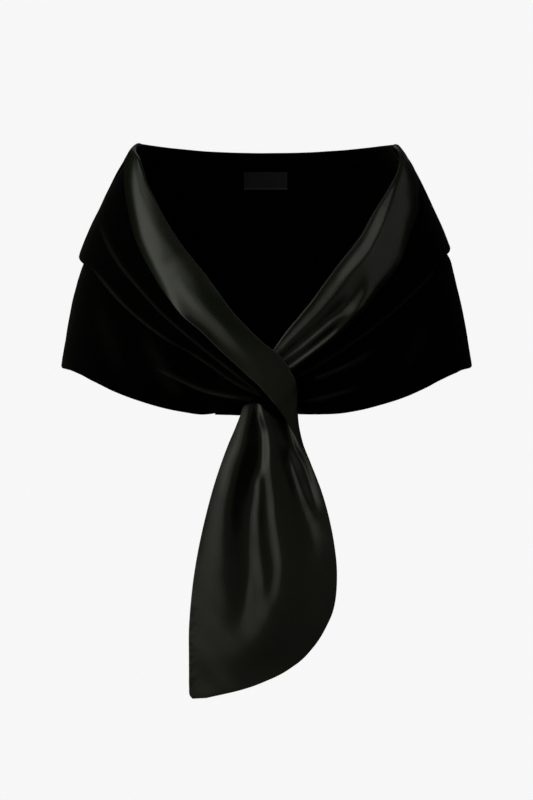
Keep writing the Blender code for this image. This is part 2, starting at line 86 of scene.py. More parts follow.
# What is most at an edge or a seam and fades over a distance.
Fade = namedtuple("Fade", "most reach")
SEAM_GROOVE = Fade(-1.0, 3.0)  # the cloth dips towards a side seam

FOLD_SAMPLES = 24  # how many samples of a fold's line lie between two of its rows
FRONT_WAVE, BACK_WAVE = 46.0, 58.0  # size of the cloth's slow waves, on the fronts and round the back
TAIL_WAVE, TAIL_WAVY = 60.0, 0.35  # size and height of the tail's slow waves

# Round the back: a value at the wearer's right side, at the centre of the back and at the wearer's left side.
Around = namedtuple("Around", "right back left")
NECK = Around(9.0, -0.7, 7.5)
HEM = Around(-260.8, -271.0, -260.2)
COLLAR_EDGE = Around(-130.5, -139.0, -120.5)
COLLAR_LIFT = Around(9.0, 8.0, 8.0)
FOLD_LIFT = Around(5.0, 5.0, 5.6)  # how far the turned cloth stands off the form at the neck fold
FOLD_RADIUS = 4.0
LEVEL = Around(0.0, 0.0, 0.0)
TURN_IN = 13.0  # the cloth goes on this far inside the neck fold, where it is sewn down
TURN_IN_SETTLE = 0.9  # the cloth turned in lies this much closer to the form at its sewn end
MOST_ROLL, MOST_TURN_IN = 0.3, 0.5  # shares of a narrow piece's width that the roll and the turn-in may have
FEWEST_ROLL_FACES = 6
BODY_INSET = 8.0
TUCK = 10.0  # how far a collar lies flat under the facing that is sewn over it
RIGHT_PEAK, LEFT_PEAK = 0.4, 0.6  # how far across each facing its crown is highest, as a share

# A low edge is rolled under: how far in the roll begins, and how deep it goes.
Rim = namedtuple("Rim", "reach depth")
HEM_RIM = Rim(3.0, 1.6)
COLLAR_RIM = Rim(5.5, 3.8)
FACING_RIM = Rim(1.6, 0.9)
RIM_FACES = 7

Ring = namedtuple("Ring", "height half_width front_depth back_depth")
FORM = (
    Ring(-340, 252, 163, 112),
    Ring(-320, 252, 163, 112),
    Ring(-292, 250.5, 162, 113),
    Ring(-259, 248, 160, 115),
    Ring(-228, 243.2, 157, 117),
    Ring(-204, 238.8, 153, 118),
    Ring(-180, 234, 148, 118),
    Ring(-156, 228, 140, 118),
    Ring(-144, 224, 135, 117),
    Ring(-123, 216.3, 126, 116),
    Ring(-99, 207.2, 114, 115),
    Ring(-75, 196.7, 100, 113),
    Ring(-51, 186.3, 84, 109),
    Ring(-27, 174.7, 68, 104),
    Ring(-15, 168, 60, 101),
    Ring(-3, 161, 52, 98),
    Ring(6, 153.4, 46, 92),
    Ring(14, 143.5, 40, 88),
)
BACK_RING = FORM[5]  # sets how long the mesh round the back is
BACK_ARC = 1.15  # length of the back's half round, as a share of its two chords
BACK_SWAY = 2.5  # power by which a value round the back goes over from the sides' to the centre's

# A station's two ends as seen from the front, how far each end is lifted off the form, the extra lift of the
# crown between them, the radius of the rolled neck edge (0: cut edge) and how far the cloth stops short of
# the neck edge.
Station = namedtuple("Station", "edge_x edge_z low_x low_z edge_lift low_lift crown roll inset")


def stations(*rows, inset=0.0):
    """Stations from rows that may leave out their last values where these are 0."""
    return [Station(*row, *(0,) * (8 - len(row)), inset) for row in rows]


RIGHT_FRONT = stations(
    (-150, 9, -248, -260.8),
    (-151, -9, -240, -263.4),
    (-147, -22, -228.6, -267.6),
    (-138, -49, -209, -277.5),
    (-118, -88, -183.5, -289.8),
    (-95, -123, -152, -301.5),
    (-69.5, -155, -119.4, -310.7),
    (-53, -177, -98, -314.8),
    (-35, -200, -76, -317.5, 1, 1, 0),
    (-22, -214, -61, -316, 4, 5, 0),
    (-8, -228, -44, -312, 10, 12, 0),
    (7, -240, -27.2, -305, 14, 14, 0),
    (20.6, -254, -11.6, -304, 15, 15, 0),
    (27.8, -266, 2, -313, 15, 15, 0),
    (33, -277, 12, -321, 14, 15, 0),
    (34, -288, 21, -327, 12.5, 13, 0),
    inset=BODY_INSET,
)
LEFT_FRONT = stations(
    (151.5, 7.5, 248, -260.2),
    (159, -12, 240, -262.9),
    (154, -30, 228.6, -267.6),
    (140, -56, 209, -276.5),
    (125.6, -79, 190, -286.3),
    (112, -103, 170, -295.2),
    (83.4, -140, 137, -306),
    (54.2, -180, 107, -313.3),
    (36, -202, 85, -316.5),
    (22.2, -219, 62, -317.3),
    (10.2, -236, 38, -317),
    (2, -247, 24, -316),
    (-2, -255, 12, -313),
    inset=BODY_INSET,
)
RIGHT_COLLAR = stations(
    (-160.5, -4, -216, -130.5, 2.4, 9, 1),
    (-162, -20, -208, -143.5, 2.4, 8, 1.5),
    (-160, -35, -196, -159, 2.4, 7.5, 2),
    (-155, -62, -183, -175, 2.4, 7, 2),
    (-145, -104, -165, -193.5, 2.4, 6.5, 2),
    (-128, -142, -144, -211.5, 2.4, 6, 1.5),
    (-106, -176, -121, -228.5, 2.6, 5.5, 1),
    (-86, -196, -101, -239, 3, 5.5, 0.5),
    (-65.5, -216, -79, -253, 4.5, 6, 0),
    (-50, -232, -62, -264.5, 7.5, 8.5, 0),
    (-33.5, -248, -45, -277, 13, 14, 0),
    (-17, -264, -27, -288, 16.8, 17.2, 0),
    (-1, -281, -9, -296, 18, 18, 0),
    (10, -293, 4, -305, 18, 18, 0),
    (19, -303, 15, -313.5, 18, 18, 0),
    (25, -310, 24, -320, 17, 17, 0),
)
LEFT_COLLAR = stations(
    (170, -22, 213, -120.5, 2.4, 8, 1),
    (176, -45, 205.5, -132.5, 2.4, 7.6, 1.5),
    (172, -70, 193, -157, 2.4, 7.5, 2),
    (167, -88, 180, -169, 2.4, 7, 2),
    (161, -104, 167, -182, 2.4, 6.5, 2),
    (153, -130, 152, -196, 2.4, 6, 1.5),
    (143, -149, 137, -209, 2.4, 6, 1),
    (125, -173, 115, -226, 2.4, 6, 1),
    (106, -193, 96, -239, 2.4, 5.5, 0.5),
    (86, -210, 76, -252, 2.4, 5, 0),
    (64.5, -227, 57, -263.5, 2.4, 4.5, 0),
    (43.5, -242, 39, -273.5, 2.4, 4, 0),
    (26, -257, 24, -281, 2.4, 3, 0),
)
RIGHT_FACING = stations(
    (-150, 9, -163.5, -9, 5, 4.4, 0.5, 4),
    (-150.5, -9, -169, -27, 8.4, 4.8, 2.5, 3.4),
    (-146, -22, -169.5, -43, 9.4, 6, 3.2, 3.4),
    (-137.4, -49.4, -166, -69, 8.8, 7.2, 4, 3),
    (-117.8, -88.6, -156.5, -111, 7.8, 7.8, 4.2, 2.6),
    (-94.8, -123.6, -138, -147.5, 7.8, 8.4, 3.6, 2),
    (-69.5, -155.6, -115.5, -181.5, 7, 9.4, 1.4, 1.8),
    (-53.4, -177.6, -97, -203, 7.2, 10.6, 0.4, 1.8),
    (-35.8, -200.6, -75, -222, 9.6, 12.4, 0.3, 1.8),
    (-22.8, -214.6, -59, -238, 12, 14.2, 0.4, 1.8),
    (-8.6, -228.6, -41.5, -254.5, 15, 16.4, 0.5, 1.8),
    (6.6, -240.6, -24, -271, 17.8, 18.6, 0.6, 1.8),
    (20.6, -254, -7, -287, 19.8, 20.9, 0.8, 1.8),
    (27.8, -266, 3.6, -299, 20.8, 21.8, 0.8, 1.8),
    (34.2, -279, 9.4, -306.5, 21, 22.2, 0.6, 1.8),
    (36.6, -293, 15.4, -314, 20, 21.2, 0.4, 1.8),
    (36.4, -308, 21, -322, 19.6, 20, 0.3, 1.8),
    (37.4, -326, 27, -331.5, 18.4, 18.6, 0.2, 1.6),
    (40, -341, 34, -344, 16.5, 16.8, 0, 1.1),
    (43.4, -354, 40, -356, 14, 14.3, 0, 0.8),
)
LEFT_FACING = stations(
    (151.5, 7.5, 173, -29, 5, 4, 0.5, 3),
    (159, -11, 179, -50, 3.5, 5, 1.5, 3),
    (150.2, -38, 179, -74, 2.5, 6, 2, 3),
    (140.2, -56, 174, -92, 2, 6.2, 2, 3),
    (125.6, -79, 168, -108, 2, 6.4, 2, 3),
    (112.2, -103, 160, -134, 2, 6.2, 2, 3.2),
    (98, -122, 149, -152, 2, 5.4, 2, 3.2),
    (83.4, -140, 128.5, -176, 2, 4.2, 1.5, 3.2),
    (68.5, -160, 111.5, -198.5, 2.5, 4.2, 1, 3.2),
    (54.2, -180, 93.5, -218, 3, 4.2, 0.5, 3.2),
    (38, -200, 72, -236, 3.5, 4.2, 0.5, 3.2),
    (22.2, -219, 50, -252, 4, 4.2, 0.3, 3.2),
    (10.2, -236, 31.5, -266, 4.5, 4.2, 0.1, 3),
    (6, -242, 24, -269, 5, 4.2, 0, 3),
)
KEEPER = stations(
    (-64, -286, -61.8, -317.5, -1.5, -1, 0),
    (-46, -287, -44, -318, -1, 0.5, 0),
    (-28, -287, -27, -318, -1, 0, 0),
    (-10, -286, -10, -313, -3, -2.6, 0),
    (10, -285, 10, -311, -3.5, -3.5, 0),
    (30, -285, 30, -310, -3.5, -3.5, 0),
)

# The tail hangs free of the form. A row goes from its left to its right side as seen from the front, and its
# middle stands this far ahead of the straight line between them.
TailRow = namedtuple("TailRow", "left_x left_z right_x right_z left_y right_y ahead")
TAIL = (
    TailRow(-18, -272, 20, -272, -166.5, -166.5, 1),
    TailRow(-24, -285, 22, -285, -167, -167, 1),
    TailRow(-27.2, -305, 32, -305, -168, -168.5, 1),
    TailRow(-36, -330, 37.2, -330, -170, -171, 0.5),
    TailRow(-45.3, -352, 43.2, -351, -171, -173.5, 0),
    TailRow(-54.3, -376, 53, -376, -170.8, -175.5, -0.4),
    TailRow(-64, -406, 64.6, -406, -168.8, -178, -1.4),
    TailRow(-72.5, -438, 74, -438, -166, -180, -1.6),
    TailRow(-80.6, -474, 81, -474, -163, -182, -0.2),
    TailRow(-86.8, -510, 84.1, -508, -160.5, -183.5, 2.4),
    TailRow(-90.3, -540, 82, -540, -158.8, -184, 4.4),
    TailRow(-92.8, -576, 72.6, -568, -157.5, -183, 5),
    TailRow(-92.8, -604, 56.2, -594.6, -157.5, -179.5, 4.2),
    TailRow(-92.7, -626, 34.5, -616, -157.5, -176.5, 2.6),
    TailRow(-92.6, -641.5, 5, -633, -157.5, -174, 1.2),
    TailRow(-91.4, -653.4, -38, -648.2, -158, -168, 0.4),
    TailRow(-88.3, -656.8, -72, -655.8, -158.5, -162, 0),
)
TAIL_ROW_STEP = 4.0  # added to the drop between two of the tail's rows, so that close rows still bend softly

# ---------------------------------------------------------------------------------------------------------
# Creases: a fold follows a line of places x, z, on the front as on the back pieces. It lifts the cloth along
# the line and fades over the two reaches, to the left and to the right of the line's way from the front.
# ---------------------------------------------------------------------------------------------------------

Fold = namedtuple("Fold", "x z lift left_reach right_reach")


def fold(*rows, reach=()):
    """A fold from rows of x, z, lift and the two reaches, which may be given once for all the rows."""
    return tuple(Fold(*row, *reach) for row in rows)


COLLAR_PLEAT = fold(
    (-203, -78, 0, 18, 10), (-194, -108, 0.9, 18, 6), (-176, -139, 1.3, 16, 4), (-152, -168, 1.5, 14, 3.2),
    (-124.6, -197.6, 1.6, 13, 3), (-86, -231, 1.6, 10, 3), (-48, -261.6, 1.4, 8, 3), (-12, -290, 1, 6, 3),
)
RIGHT_BODY_FOLDS = (
    fold((-204, -165, 0, 9, 9), (-196, -200, 2.4, 9, 9), (-186, -238, 2, 10, 10), (-174, -270, 0, 10, 10)),
    fold((-152, -214, 0), (-134, -246, 2.6), (-112, -280, 2.2), (-94, -302, 0), reach=(9, 9)),
    fold(
        (-150, -258, 0, 12, 9), (-118, -270, 2, 11, 5), (-80, -288, 2.6, 10, 4), (-50, -296, 2, 8, 4),
        (-20, -300, 0, 6, 4),
    ),
)
LEFT_SEAM_FOLD = fold((221, -116, 0), (222, -130, 3), (226, -148, 1.2), (230, -166, 0), reach=(12, 12))
LEFT_BODY_FOLDS = (
    LEFT_SEAM_FOLD,
    fold((156, -276, 0), (168, -256, 2.2), (184, -226, 2.2), (192, -206, 0), reach=(9, 9)),
    fold((52, -276, 1, 7, 5), (80, -266, 2.4, 8, 6), (112, -250, 2.2, 9, 8), (142, -230, 0, 9, 9)),
    fold((40, -303, 1, 7, 4), (62, -298, 2.2, 9, 5), (92, -290, 2, 10, 7), (124, -280, 0, 11, 10)),
)
RIGHT_FACING_FOLDS = (
    fold(
        (-114.5, -134.7, 0, 40, 18), (-102.6, -151.4, 2.4, 40, 16), (-90.7, -167.8, 5, 40, 14),
        (-72.6, -188.7, 6.2, 40, 13), (-53, -209.9, 5.2, 38, 12), (-38.7, -224.8, 4, 36, 11.5),
        (-23.1, -239.9, 2.2, 34, 10), (-7, -254, 0.8, 30, 10), (8.2, -268.9, 0, 30, 10),
    ),
    fold(
        (-168, -20, 0, 7, 5), (-172, -43, -2.6, 8, 5), (-169, -70, -4, 9.5, 5), (-159.5, -112, -5.2, 11, 5),
        (-141.5, -149.5, -6.2, 11, 5), (-130.8, -167.5, -6.2, 9.5, 5), (-119.3, -184.3, -5.2, 8, 5),
        (-107, -197, -2.4, 7, 5), (-95, -208.5, 0, 7, 5),
    ),
    fold(
        (-129, -172, 0, 9, 4), (-119, -186, 0.6, 9, 4), (-109.5, -196.5, 1.8, 9, 4),
        (-99.8, -205.9, 2.8, 9, 4), (-77.6, -225, 2.8, 9, 4), (-61.7, -241, 1.8, 9, 4),
        (-44.3, -257.4, 1, 8, 4), (-27, -274, 0, 8, 4),
    ),
)
LEFT_FACING_FOLDS = (
    fold(
        (14.5, -245.5, 2.2, 5, 5), (29, -230.6, 2.8, 5.5, 7), (43, -217.7, 3.4, 7, 10),
        (56.6, -205.1, 4.1, 8.5, 13), (67.8, -193.8, 4.8, 9.5, 15), (88, -170.1, 6.2, 11, 18),
        (106.2, -147.9, 7.2, 12, 22), (123.8, -125.5, 7.4, 11.5, 24), (135.8, -101.6, 7, 10.5, 26),
        (145.4, -74, 6.4, 9, 26), (150, -57.4, 6, 7.5, 24), (156.6, -36, 4.8, 6, 18),
        (161.5, -18, 2.2, 6, 16), (164, -4, 0, 6, 16),
    ),
    fold(
        (23, -253.5, 2.2, 4, 5), (39.5, -242, 3, 4.5, 6), (54.5, -229.8, 3.8, 4.5, 6.5),
        (68.5, -218.6, 4.8, 5, 7), (82.5, -208, 6, 6, 8), (97, -201, 8.2, 9, 9),
        (108.5, -192, 10, 11.5, 10), (117.5, -180.5, 10, 12, 12), (124, -168, 8.2, 13.5, 15),
        (129, -156, 5.6, 15, 17), (133, -144, 3.2, 16, 18), (136.5, -132, 1.3, 16, 18),
        (139.5, -120, 0, 16, 18),
    ),
    fold(
        (28.5, -263.5, 3.2, 4, 4), (46.6, -250.2, 4.6, 4, 4), (62, -238.6, 5.6, 4, 4),
        (78.5, -225.4, 6.2, 4, 4), (90, -214.5, 4.6, 4.5, 4), (97.5, -207.5, 3.8, 5, 4.5),
        (104.5, -200.5, 2.4, 5.5, 5), (111, -193, 1, 6, 6), (117, -186, 0, 6, 6),
    ),
    fold(
        (181, -50, 0, 5, 7), (181, -75, -1.4, 5, 8), (176, -93, -2, 5, 9), (170.5, -110, -2.2, 5, 9),
        (162, -136, -2.2, 5, 9), (152, -155, -2, 5, 8), (133, -178, -1.2, 5, 7), (116, -199, 0, 5, 6),
    ),
)
TAIL_FOLDS = (
    fold(
        (-19, -298, 1.5, 6, 7), (-21, -318, 3.2, 7, 8), (-25, -338, 4.6, 9, 10), (-29, -358, 6.4, 12, 12),
        (-36, -378, 7.2, 14, 14), (-41, -398, 6.8, 14, 14), (-45, -418, 6.4, 14, 15),
        (-48, -438, 6.2, 15, 16), (-49, -458, 6, 15, 18), (-50, -478, 5.6, 16, 21),
        (-50, -498, 4.8, 17, 24), (-50, -518, 3.5, 18, 26), (-50, -540, 1.9, 20, 28),
        (-50, -562, 0.7, 22, 28), (-50, -584, 0, 22, 28),
    ),
    fold(
        (-12, -306, 0, 4, 5), (-11, -322, -1.4, 4, 5), (-7.5, -338, -2.2, 5, 7), (-6.5, -358, -2.6, 5, 8),
        (-8, -378, -2.3, 5.5, 9), (-14.5, -398, -1.7, 6, 9), (-18, -418, -1.1, 6, 8),
        (-21, -438, -0.9, 6, 8), (-23, -458, -0.8, 6, 8), (-23, -478, -1, 6, 8), (-23, -498, -1.2, 7, 9),
        (-24, -518, -1.6, 7, 10), (-27, -538, -1.6, 8, 11), (-30, -558, -1, 9, 12), (-34, -578, 0, 10, 12),
    ),
    fold(
        (-9, -386, 0, 4, 5), (-8, -398, 1, 4, 5), (-8, -418, 1.6, 4, 5.5), (-9, -438, 2, 4.5, 6.5),
        (-8.5, -458, 2.1, 5, 7), (-7, -478, 2.1, 6, 7.5), (-5, -498, 2, 7, 8), (-3, -518, 1.8, 8, 8),
        (-4, -540, 0.5, 8, 8), (-8, -562, 0, 8, 8),
    ),
    fold(
        (-7, -298, 1.5, 8, 4), (-3.5, -318, 4.2, 12, 4.5), (2.5, -338, 3, 13, 5), (5, -358, 3.4, 14, 5.5),
        (5, -378, 3.5, 16, 6), (7, -398, 3.3, 18, 6.5), (9.5, -418, 3.2, 20, 6.5), (11, -438, 3, 22, 6.5),
        (14, -458, 2.6, 24, 7), (17, -478, 2.5, 24, 7.5), (19, -498, 2.5, 24, 8), (18, -518, 2.6, 24, 10),
        (14, -538, 3, 26, 14), (4, -558, 3.4, 28, 18), (-5, -578, 3, 30, 22), (-20, -598, 2, 32, 25),
        (-42, -618, 0.8, 32, 26), (-60, -638, 0, 32, 26),
    ),
    fold(
        (20, -304, 0, 5, 6), (23, -322, -2.2, 4.5, 8), (27, -338, -3.8, 4.5, 9.5), (33, -358, -5, 4.5, 9),
        (43.5, -378, -4.8, 4.5, 8.5), (50.5, -398, -4, 4.5, 8), (56, -418, -2.2, 5, 7), (62, -438, 0, 6, 6),
    ),
    fold(
        (28, -356, 0, 3.5, 3.5), (32, -378, 0.6, 3.5, 4), (39, -398, 0.9, 4, 4), (47, -418, 1.1, 4.5, 4.5),
        (53, -434, 0.7, 5, 5), (58, -452, 0, 6, 6),
    ),
    fold(
        (24, -352, 0, 4, 5), (26.5, -374, -2, 4, 5), (33, -398, -2.2, 4, 5), (39, -418, -1.6, 5, 7),
        (45, -438, -1.9, 9, 10), (51, -458, -1.9, 9, 12), (54, -478, -1, 10, 13), (54, -500, 0, 11, 14),
    ),
)

# The turned hem along the tail's left side puckers in short ridges that run in from the edge. Their lengths
# are uneven by turns, they stray up and down the hem, and they droop towards their inner ends.
Puckers = namedtuple("Puckers", "top_z low_z spacing length uneven lift reach stray stray_turn droop")
TAIL_PUCKERS = Puckers(-548.0, -646.0, 8.3, 8.0, 0.35, 0.35, 2.4, 1.2, 2.3, 1.5)

BACK_FOLDS = (
    LEFT_SEAM_FOLD,
    fold((-150, -168, 0, 14, 14), (-146, -210, 3, 14, 14), (-152, -268, 3.6, 16, 16)),
    fold((-62, -190, 0, 16, 16), (-70, -232, 2.4, 16, 16), (-76, -272, 3.2, 18, 18)),
    fold((22, -176, 0, 15, 15), (26, -226, 2.2, 16, 16), (34, -274, 3, 18, 18)),
    fold((112, -184, 0, 15, 15), (118, -226, 3, 15, 15), (114, -270, 3.4, 17, 17)),
    fold((182, -176, 0, 10, 10), (186, -216, 2.4, 11, 11), (180, -262, 2.6, 13, 13)),
)
COLLAR_BACK_FOLDS = (
    fold((-150, -40, 0, 12, 12), (-130, -84, 2, 14, 12), (-96, -122, 1.8, 16, 12), (-60, -136, 0, 16, 14)),
    fold((128, -46, 0, 12, 12), (112, -86, 1.8, 12, 14), (86, -118, 1.6, 12, 16), (52, -134, 0, 14, 16)),
    fold((-30, -60, 0, 14, 14), (4, -74, 1.2, 16, 16), (44, -66, 0, 14, 14)),
)

# Painted highlight where a sharp crease or a fold of the velvet catches the light. Lift here is how strong
# the painted highlight is, 0 to 1.
RIGHT_COLLAR_PAINTED_HIGHLIGHTS = (
    fold(
        (-203, -78, 0, 5, 3), (-194, -108, 0.3, 4, 1.6), (-176, -139, 0.45, 3, 1.2),
        (-152, -168, 0.5, 2.4, 1), (-124.6, -197.6, 0.5, 2, 1), (-86, -231, 0.5, 2, 1),
        (-48, -261.6, 0.45, 2, 1), (-12, -290, 0.3, 2, 1),
    ),
    fold(
        (-215, -134, 0), (-196, -158, 0.48), (-165, -192.5, 0.6), (-121, -227.5, 0.6), (-79, -252, 0.6),
        (-45, -276, 0.54), (-9, -295, 0.6), reach=(2, 2),
    ),
)
LEFT_COLLAR_PAINTED_HIGHLIGHTS = (
    fold(
        (212, -129, 0), (193, -156, 0.48), (167, -181, 0.6), (137, -208, 0.6), (96, -238, 0.6),
        (57, -262.5, 0.54), (24, -280, 0.6), reach=(2, 2),
    ),
)
RIGHT_BODY_PAINTED_HIGHLIGHTS = (
    fold(
        (-136, -262, 0, 3, 1.5), (-118, -270, 0.4, 3, 1.3), (-80, -288, 0.7, 3, 1.2),
        (-51, -295.5, 0.6, 3, 1.2), (-20, -300, 0.3, 3, 1.2),
    ),
    fold((-200, -172, 0), (-194, -206, 0.1), (-180, -250, 0.08), (-172, -274, 0), reach=(7, 9)),
    fold((-150, -212, 0), (-132, -246, 0.16), (-112, -280, 0.16), (-96, -303, 0), reach=(6, 9)),
)
LEFT_BODY_PAINTED_HIGHLIGHTS = (
    fold((46, -301.5, 0.4, 1.5, 3), (62, -298, 0.7, 1.5, 3), (92, -290, 0.5, 1.5, 3), (116, -282, 0, 2, 4)),
    fold((60, -273, 0.5, 1.5, 3), (86, -263, 0.6, 1.5, 3), (112, -250, 0.4, 2, 4), (136, -234, 0, 2, 4)),
    fold((194, -202, 0), (186, -226, 0.14), (170, -256, 0.12), (158, -276, 0), reach=(9, 7)),
)

# The label lies this deep inside the form. Its turned-in edges swell further inwards, and carry a painted
# highlight, strongest along the low edge.
LABEL_DEPTH = 3.6
LABEL_LOW_SWELL, LABEL_END_SWELL = Fade(0.5, 1.2), Fade(0.25, 1.5)
LABEL_LOW_HIGHLIGHT, LABEL_END_HIGHLIGHT, LABEL_TOP_HIGHLIGHT = Fade(1.0, 0.9), Fade(0.3, 0.8), Fade(0.15, 0.8)
LABEL_COLUMNS, LABEL_ROWS = 54, 22

# ---------------------------------------------------------------------------------------------------------
# The studio, in metres
# ---------------------------------------------------------------------------------------------------------

VIEW_CENTRE = Vector((0.0, -0.08, -0.300))  # what the camera aims at
VIEW_HEIGHT = 0.960  # height of the picture at that place
SENSOR = 36.0
FLOOR_GAP = 0.05
FLOOR_SIZE = 60.0
LIGHT_CENTRE = Vector((0, 0, -0.25))  # what the lights aim at

# A soft light: where it hangs as seen from the stole, as a turn to the wearer's left and a height angle, how
# far away it is, its size as half angles, its lean to the wearer's right and its share of the key's radiance.
Lamp = namedtuple("Lamp", "name turn rise distance half_wide half_high lean share")
LAMPS = (
    Lamp("key", -66, 25, 3.2, 18, 31, 12, 1.0),
    Lamp("key_halo", -57, 21, 3.4, 32, 38, 8, 0.54),
    Lamp("high_fill", -69, 71, 3.0, 9, 10, 0, 1.1),
    Lamp("top_fill", 30, 67, 3.0, 8, 8, 0, 0.31),
    Lamp("low_side", -62, -16, 3.0, 34, 11, 0, 0.2),
    Lamp("side_fill", 60, 42, 3.0, 33, 25, 0, 0.31),
    Lamp("front_fill", 0, 0, 4.0, 25, 30, 0, 0.11),
    Lamp("back", 178, 40, 3.6, 24, 16, 0, 0.4),
)


def curve(knots, values, at, level_ends=False):
    """Smooth curve through values at rising knots, read at the given places."""
    knots = np.asarray(knots, float)
    values = np.asarray(values, float)
    step = np.diff(knots)
    rise = np.diff(values) / step
    slope = np.empty_like(values)
    slope[1:-1] = (rise[:-1] * step[1:] + rise[1:] * step[:-1]) / (step[:-1] + step[1:])
    slope[0], slope[-1] = (0, 0) if level_ends else (rise[0], rise[-1])
    at = np.clip(at, knots[0], knots[-1])
    i = np.clip(np.searchsorted(knots, at, side="right") - 1, 0, len(step) - 1)
    t = (at - knots[i]) / step[i]
    from_start = (1 + 2 * t) * (1 - t) ** 2 * values[i] + t * (1 - t) ** 2 * step[i] * slope[i]
    from_end = t * t * (3 - 2 * t) * values[i + 1] + t * t * (t - 1) * step[i] * slope[i + 1]
    return from_start + from_end


def column(rows, name):
    return np.array([getattr(row, name) for row in rows], float)


def way_along(steps):
    """How far along a line each of its points is, from the lengths of the steps between them."""
    return np.concatenate([[0], np.cumsum(steps)])


def form_size(name, height):
    return curve(column(FORM, "height"), column(FORM, name), height)


def form_angle(x, height):
    """Angle round the form, 0 at the front and negative on the wearer's right, where the front has this x."""
    share = np.clip(np.abs(x) / form_size("half_width", height), 0, 1)
    return np.sign(x) * np.arcsin(share ** (RING_POWER / 2))


def form_point(angle, height):
    across, towards = np.sin(angle), np.cos(angle)
    power = 2 / RING_POWER
    depth = np.where(towards > 0, form_size("front_depth", height), form_size("back_depth", height))
    x = form_size("half_width", height) * np.sign(across) * np.abs(across) ** power
    y = -depth * np.sign(towards) * np.abs(towards) ** power
    return np.stack([x, y, np.broadcast_to(height, x.shape)], axis=-1)


def form_normal(angle, height):
    turn, climb = 0.02, 2.0
    round_it = form_point(angle + turn, height) - form_point(angle - turn, height)
    up_it = form_point(angle, height + climb) - form_point(angle, height - climb)
    normal = np.cross(round_it, up_it)
    return normal / np.linalg.norm(normal, axis=-1, keepdims=True)


def fold_lift(x, z, folds, strength=1.0):
    """Sum of the folds' lifts at the places x, z."""
    total = np.zeros(np.shape(x))
    flat_x, flat_z = np.ravel(x), np.ravel(z)
    for rows in folds:
        knots = np.arange(len(rows), dtype=float)
        at = np.linspace(0, knots[-1], FOLD_SAMPLES * (len(rows) - 1) + 1)
        line = {}
        for name in Fold._fields:
            line[name] = curve(knots, column(rows, name), at, level_ends=name == "lift")
        way_x, way_z = np.gradient(line["x"]), np.gradient(line["z"])
        length = np.hypot(way_x, way_z)
        away = (flat_x[:, None] - line["x"]) ** 2 + (flat_z[:, None] - line["z"]) ** 2
        near = np.argmin(away, axis=1)
        off_x, off_z = flat_x - line["x"][near], flat_z - line["z"][near]
        to_left = (way_x[near] * off_z - way_z[near] * off_x) / length[near]
        along = (way_x[near] * off_x + way_z[near] * off_z) / length[near] ** 2
        foot = near + along
        past_end = np.where((foot < 0) | (foot > len(at) - 1), along * length[near], 0)
        place = np.arange(len(at), dtype=float)
        lift = np.interp(foot, place, line["lift"])
        left = np.interp(foot, place, line["left_reach"])
        right = np.interp(foot, place, line["right_reach"])
        reach = np.where(to_left > 0, left, right)
        total += (lift * np.exp(-(to_left**2 + past_end**2) / reach**2)).reshape(total.shape)
    return total * strength


def painted_crease_highlight(points, folds):
    """How strong the painted crease highlight is at each point of a piece."""
    return fold_lift(points[..., 0], points[..., 2], folds)


def unevenness(u, v, size, height):
    """Slow waves of a hand-made thing, about height high and size long, over two coordinates.

    Three waves of lengths and phases that don't match, so that no pattern shows.
    """
    turn_u, turn_v = 2 * math.pi * u / size, 2 * math.pi * v / size
    waves = np.sin(turn_u + 0.7 * np.sin(0.8 * turn_v)) + np.sin(0.63 * turn_v + 1.9)
    waves = waves + 0.6 * np.sin(1.7 * turn_u + 1.3 * turn_v + 0.4)
    return height * waves / 2.6


def faded(distance, fade):
    return fade.most * np.exp(-((distance / fade.reach) ** 2))


def lay_on_form(angle, height, lift, groove, folds, strength, wave, wavy):
    """Points lifted off the form, with their folds and waves, and the form's normals there."""
    base = form_point(angle, height)
    normal = form_normal(angle, height)
    x, z = base[..., 0], base[..., 2]
    lift = lift + fold_lift(x, z, folds, strength) + groove + unevenness(x, z, wave, wavy)
    return base + normal * lift[..., None], normal


def columns_across(start, length, faces, rim):
    """Shares of the way across, and drops, of the columns of points. The last ones round off the low edge."""
    end = 1 - (rim.reach / length if rim else 0)
    share = start + (end - start) * np.linspace(0, 1, faces + 1)[None, :]
    drop = np.zeros_like(share)
    if not rim:
        return share, drop
    turns = np.linspace(0, math.pi / 2, RIM_FACES + 1)[None, 1:]
    rim_share = 1 - rim.reach / length * (1 - np.sin(turns))
    rim_drop = np.broadcast_to(rim.depth * (1 - np.cos(turns)), rim_share.shape)
    return np.concatenate([share, rim_share], axis=1), np.concatenate([drop, rim_drop], axis=1)


def rolled_edge(points, outward, radius, faces):
    """Half-round roll before the first column, back towards the form, where the cloth is turned in."""
    across = points[:, 1] - points[:, 0]
    across -= outward * np.sum(across * outward, axis=-1, keepdims=True)
    across /= np.linalg.norm(across, axis=-1, keepdims=True)
    centre = points[:, 0] - outward * radius
    turns = np.linspace(math.pi, 0, faces + 1)[:-1]
    ring = [centre + radius * (math.cos(t) * outward - math.sin(t) * across) for t in turns]
    return np.stack(ring, axis=1)


def turned_edge(points, normal, lay, lift, radius, length, spacing):
    """The points with the rolled neck edge, and the cloth turned in behind it, put before them."""
    faces = max(FEWEST_ROLL_FACES, math.ceil(math.pi * FOLD_RADIUS / spacing))
    rolled = rolled_edge(points, normal[:, 0], radius, faces)
    turn_in = np.minimum(TURN_IN, MOST_TURN_IN * length)
    inner = np.linspace(1, 0, math.ceil(TURN_IN / spacing) + 1)[None, :-1]
    inside, _ = lay((radius + turn_in * inner) / length, lift - 2 * radius - TURN_IN_SETTLE * np.sqrt(inner))
    return np.concatenate([inside, rolled, points], axis=1)


def station_spacing(rows):
    """Rising distances of the stations' middles along the form."""
    x = (column(rows, "edge_x") + column(rows, "low_x")) / 2
    z = (column(rows, "edge_z") + column(rows, "low_z")) / 2
    middle = form_point(form_angle(x, z), z)
    return way_along(np.linalg.norm(np.diff(middle, axis=0), axis=-1))


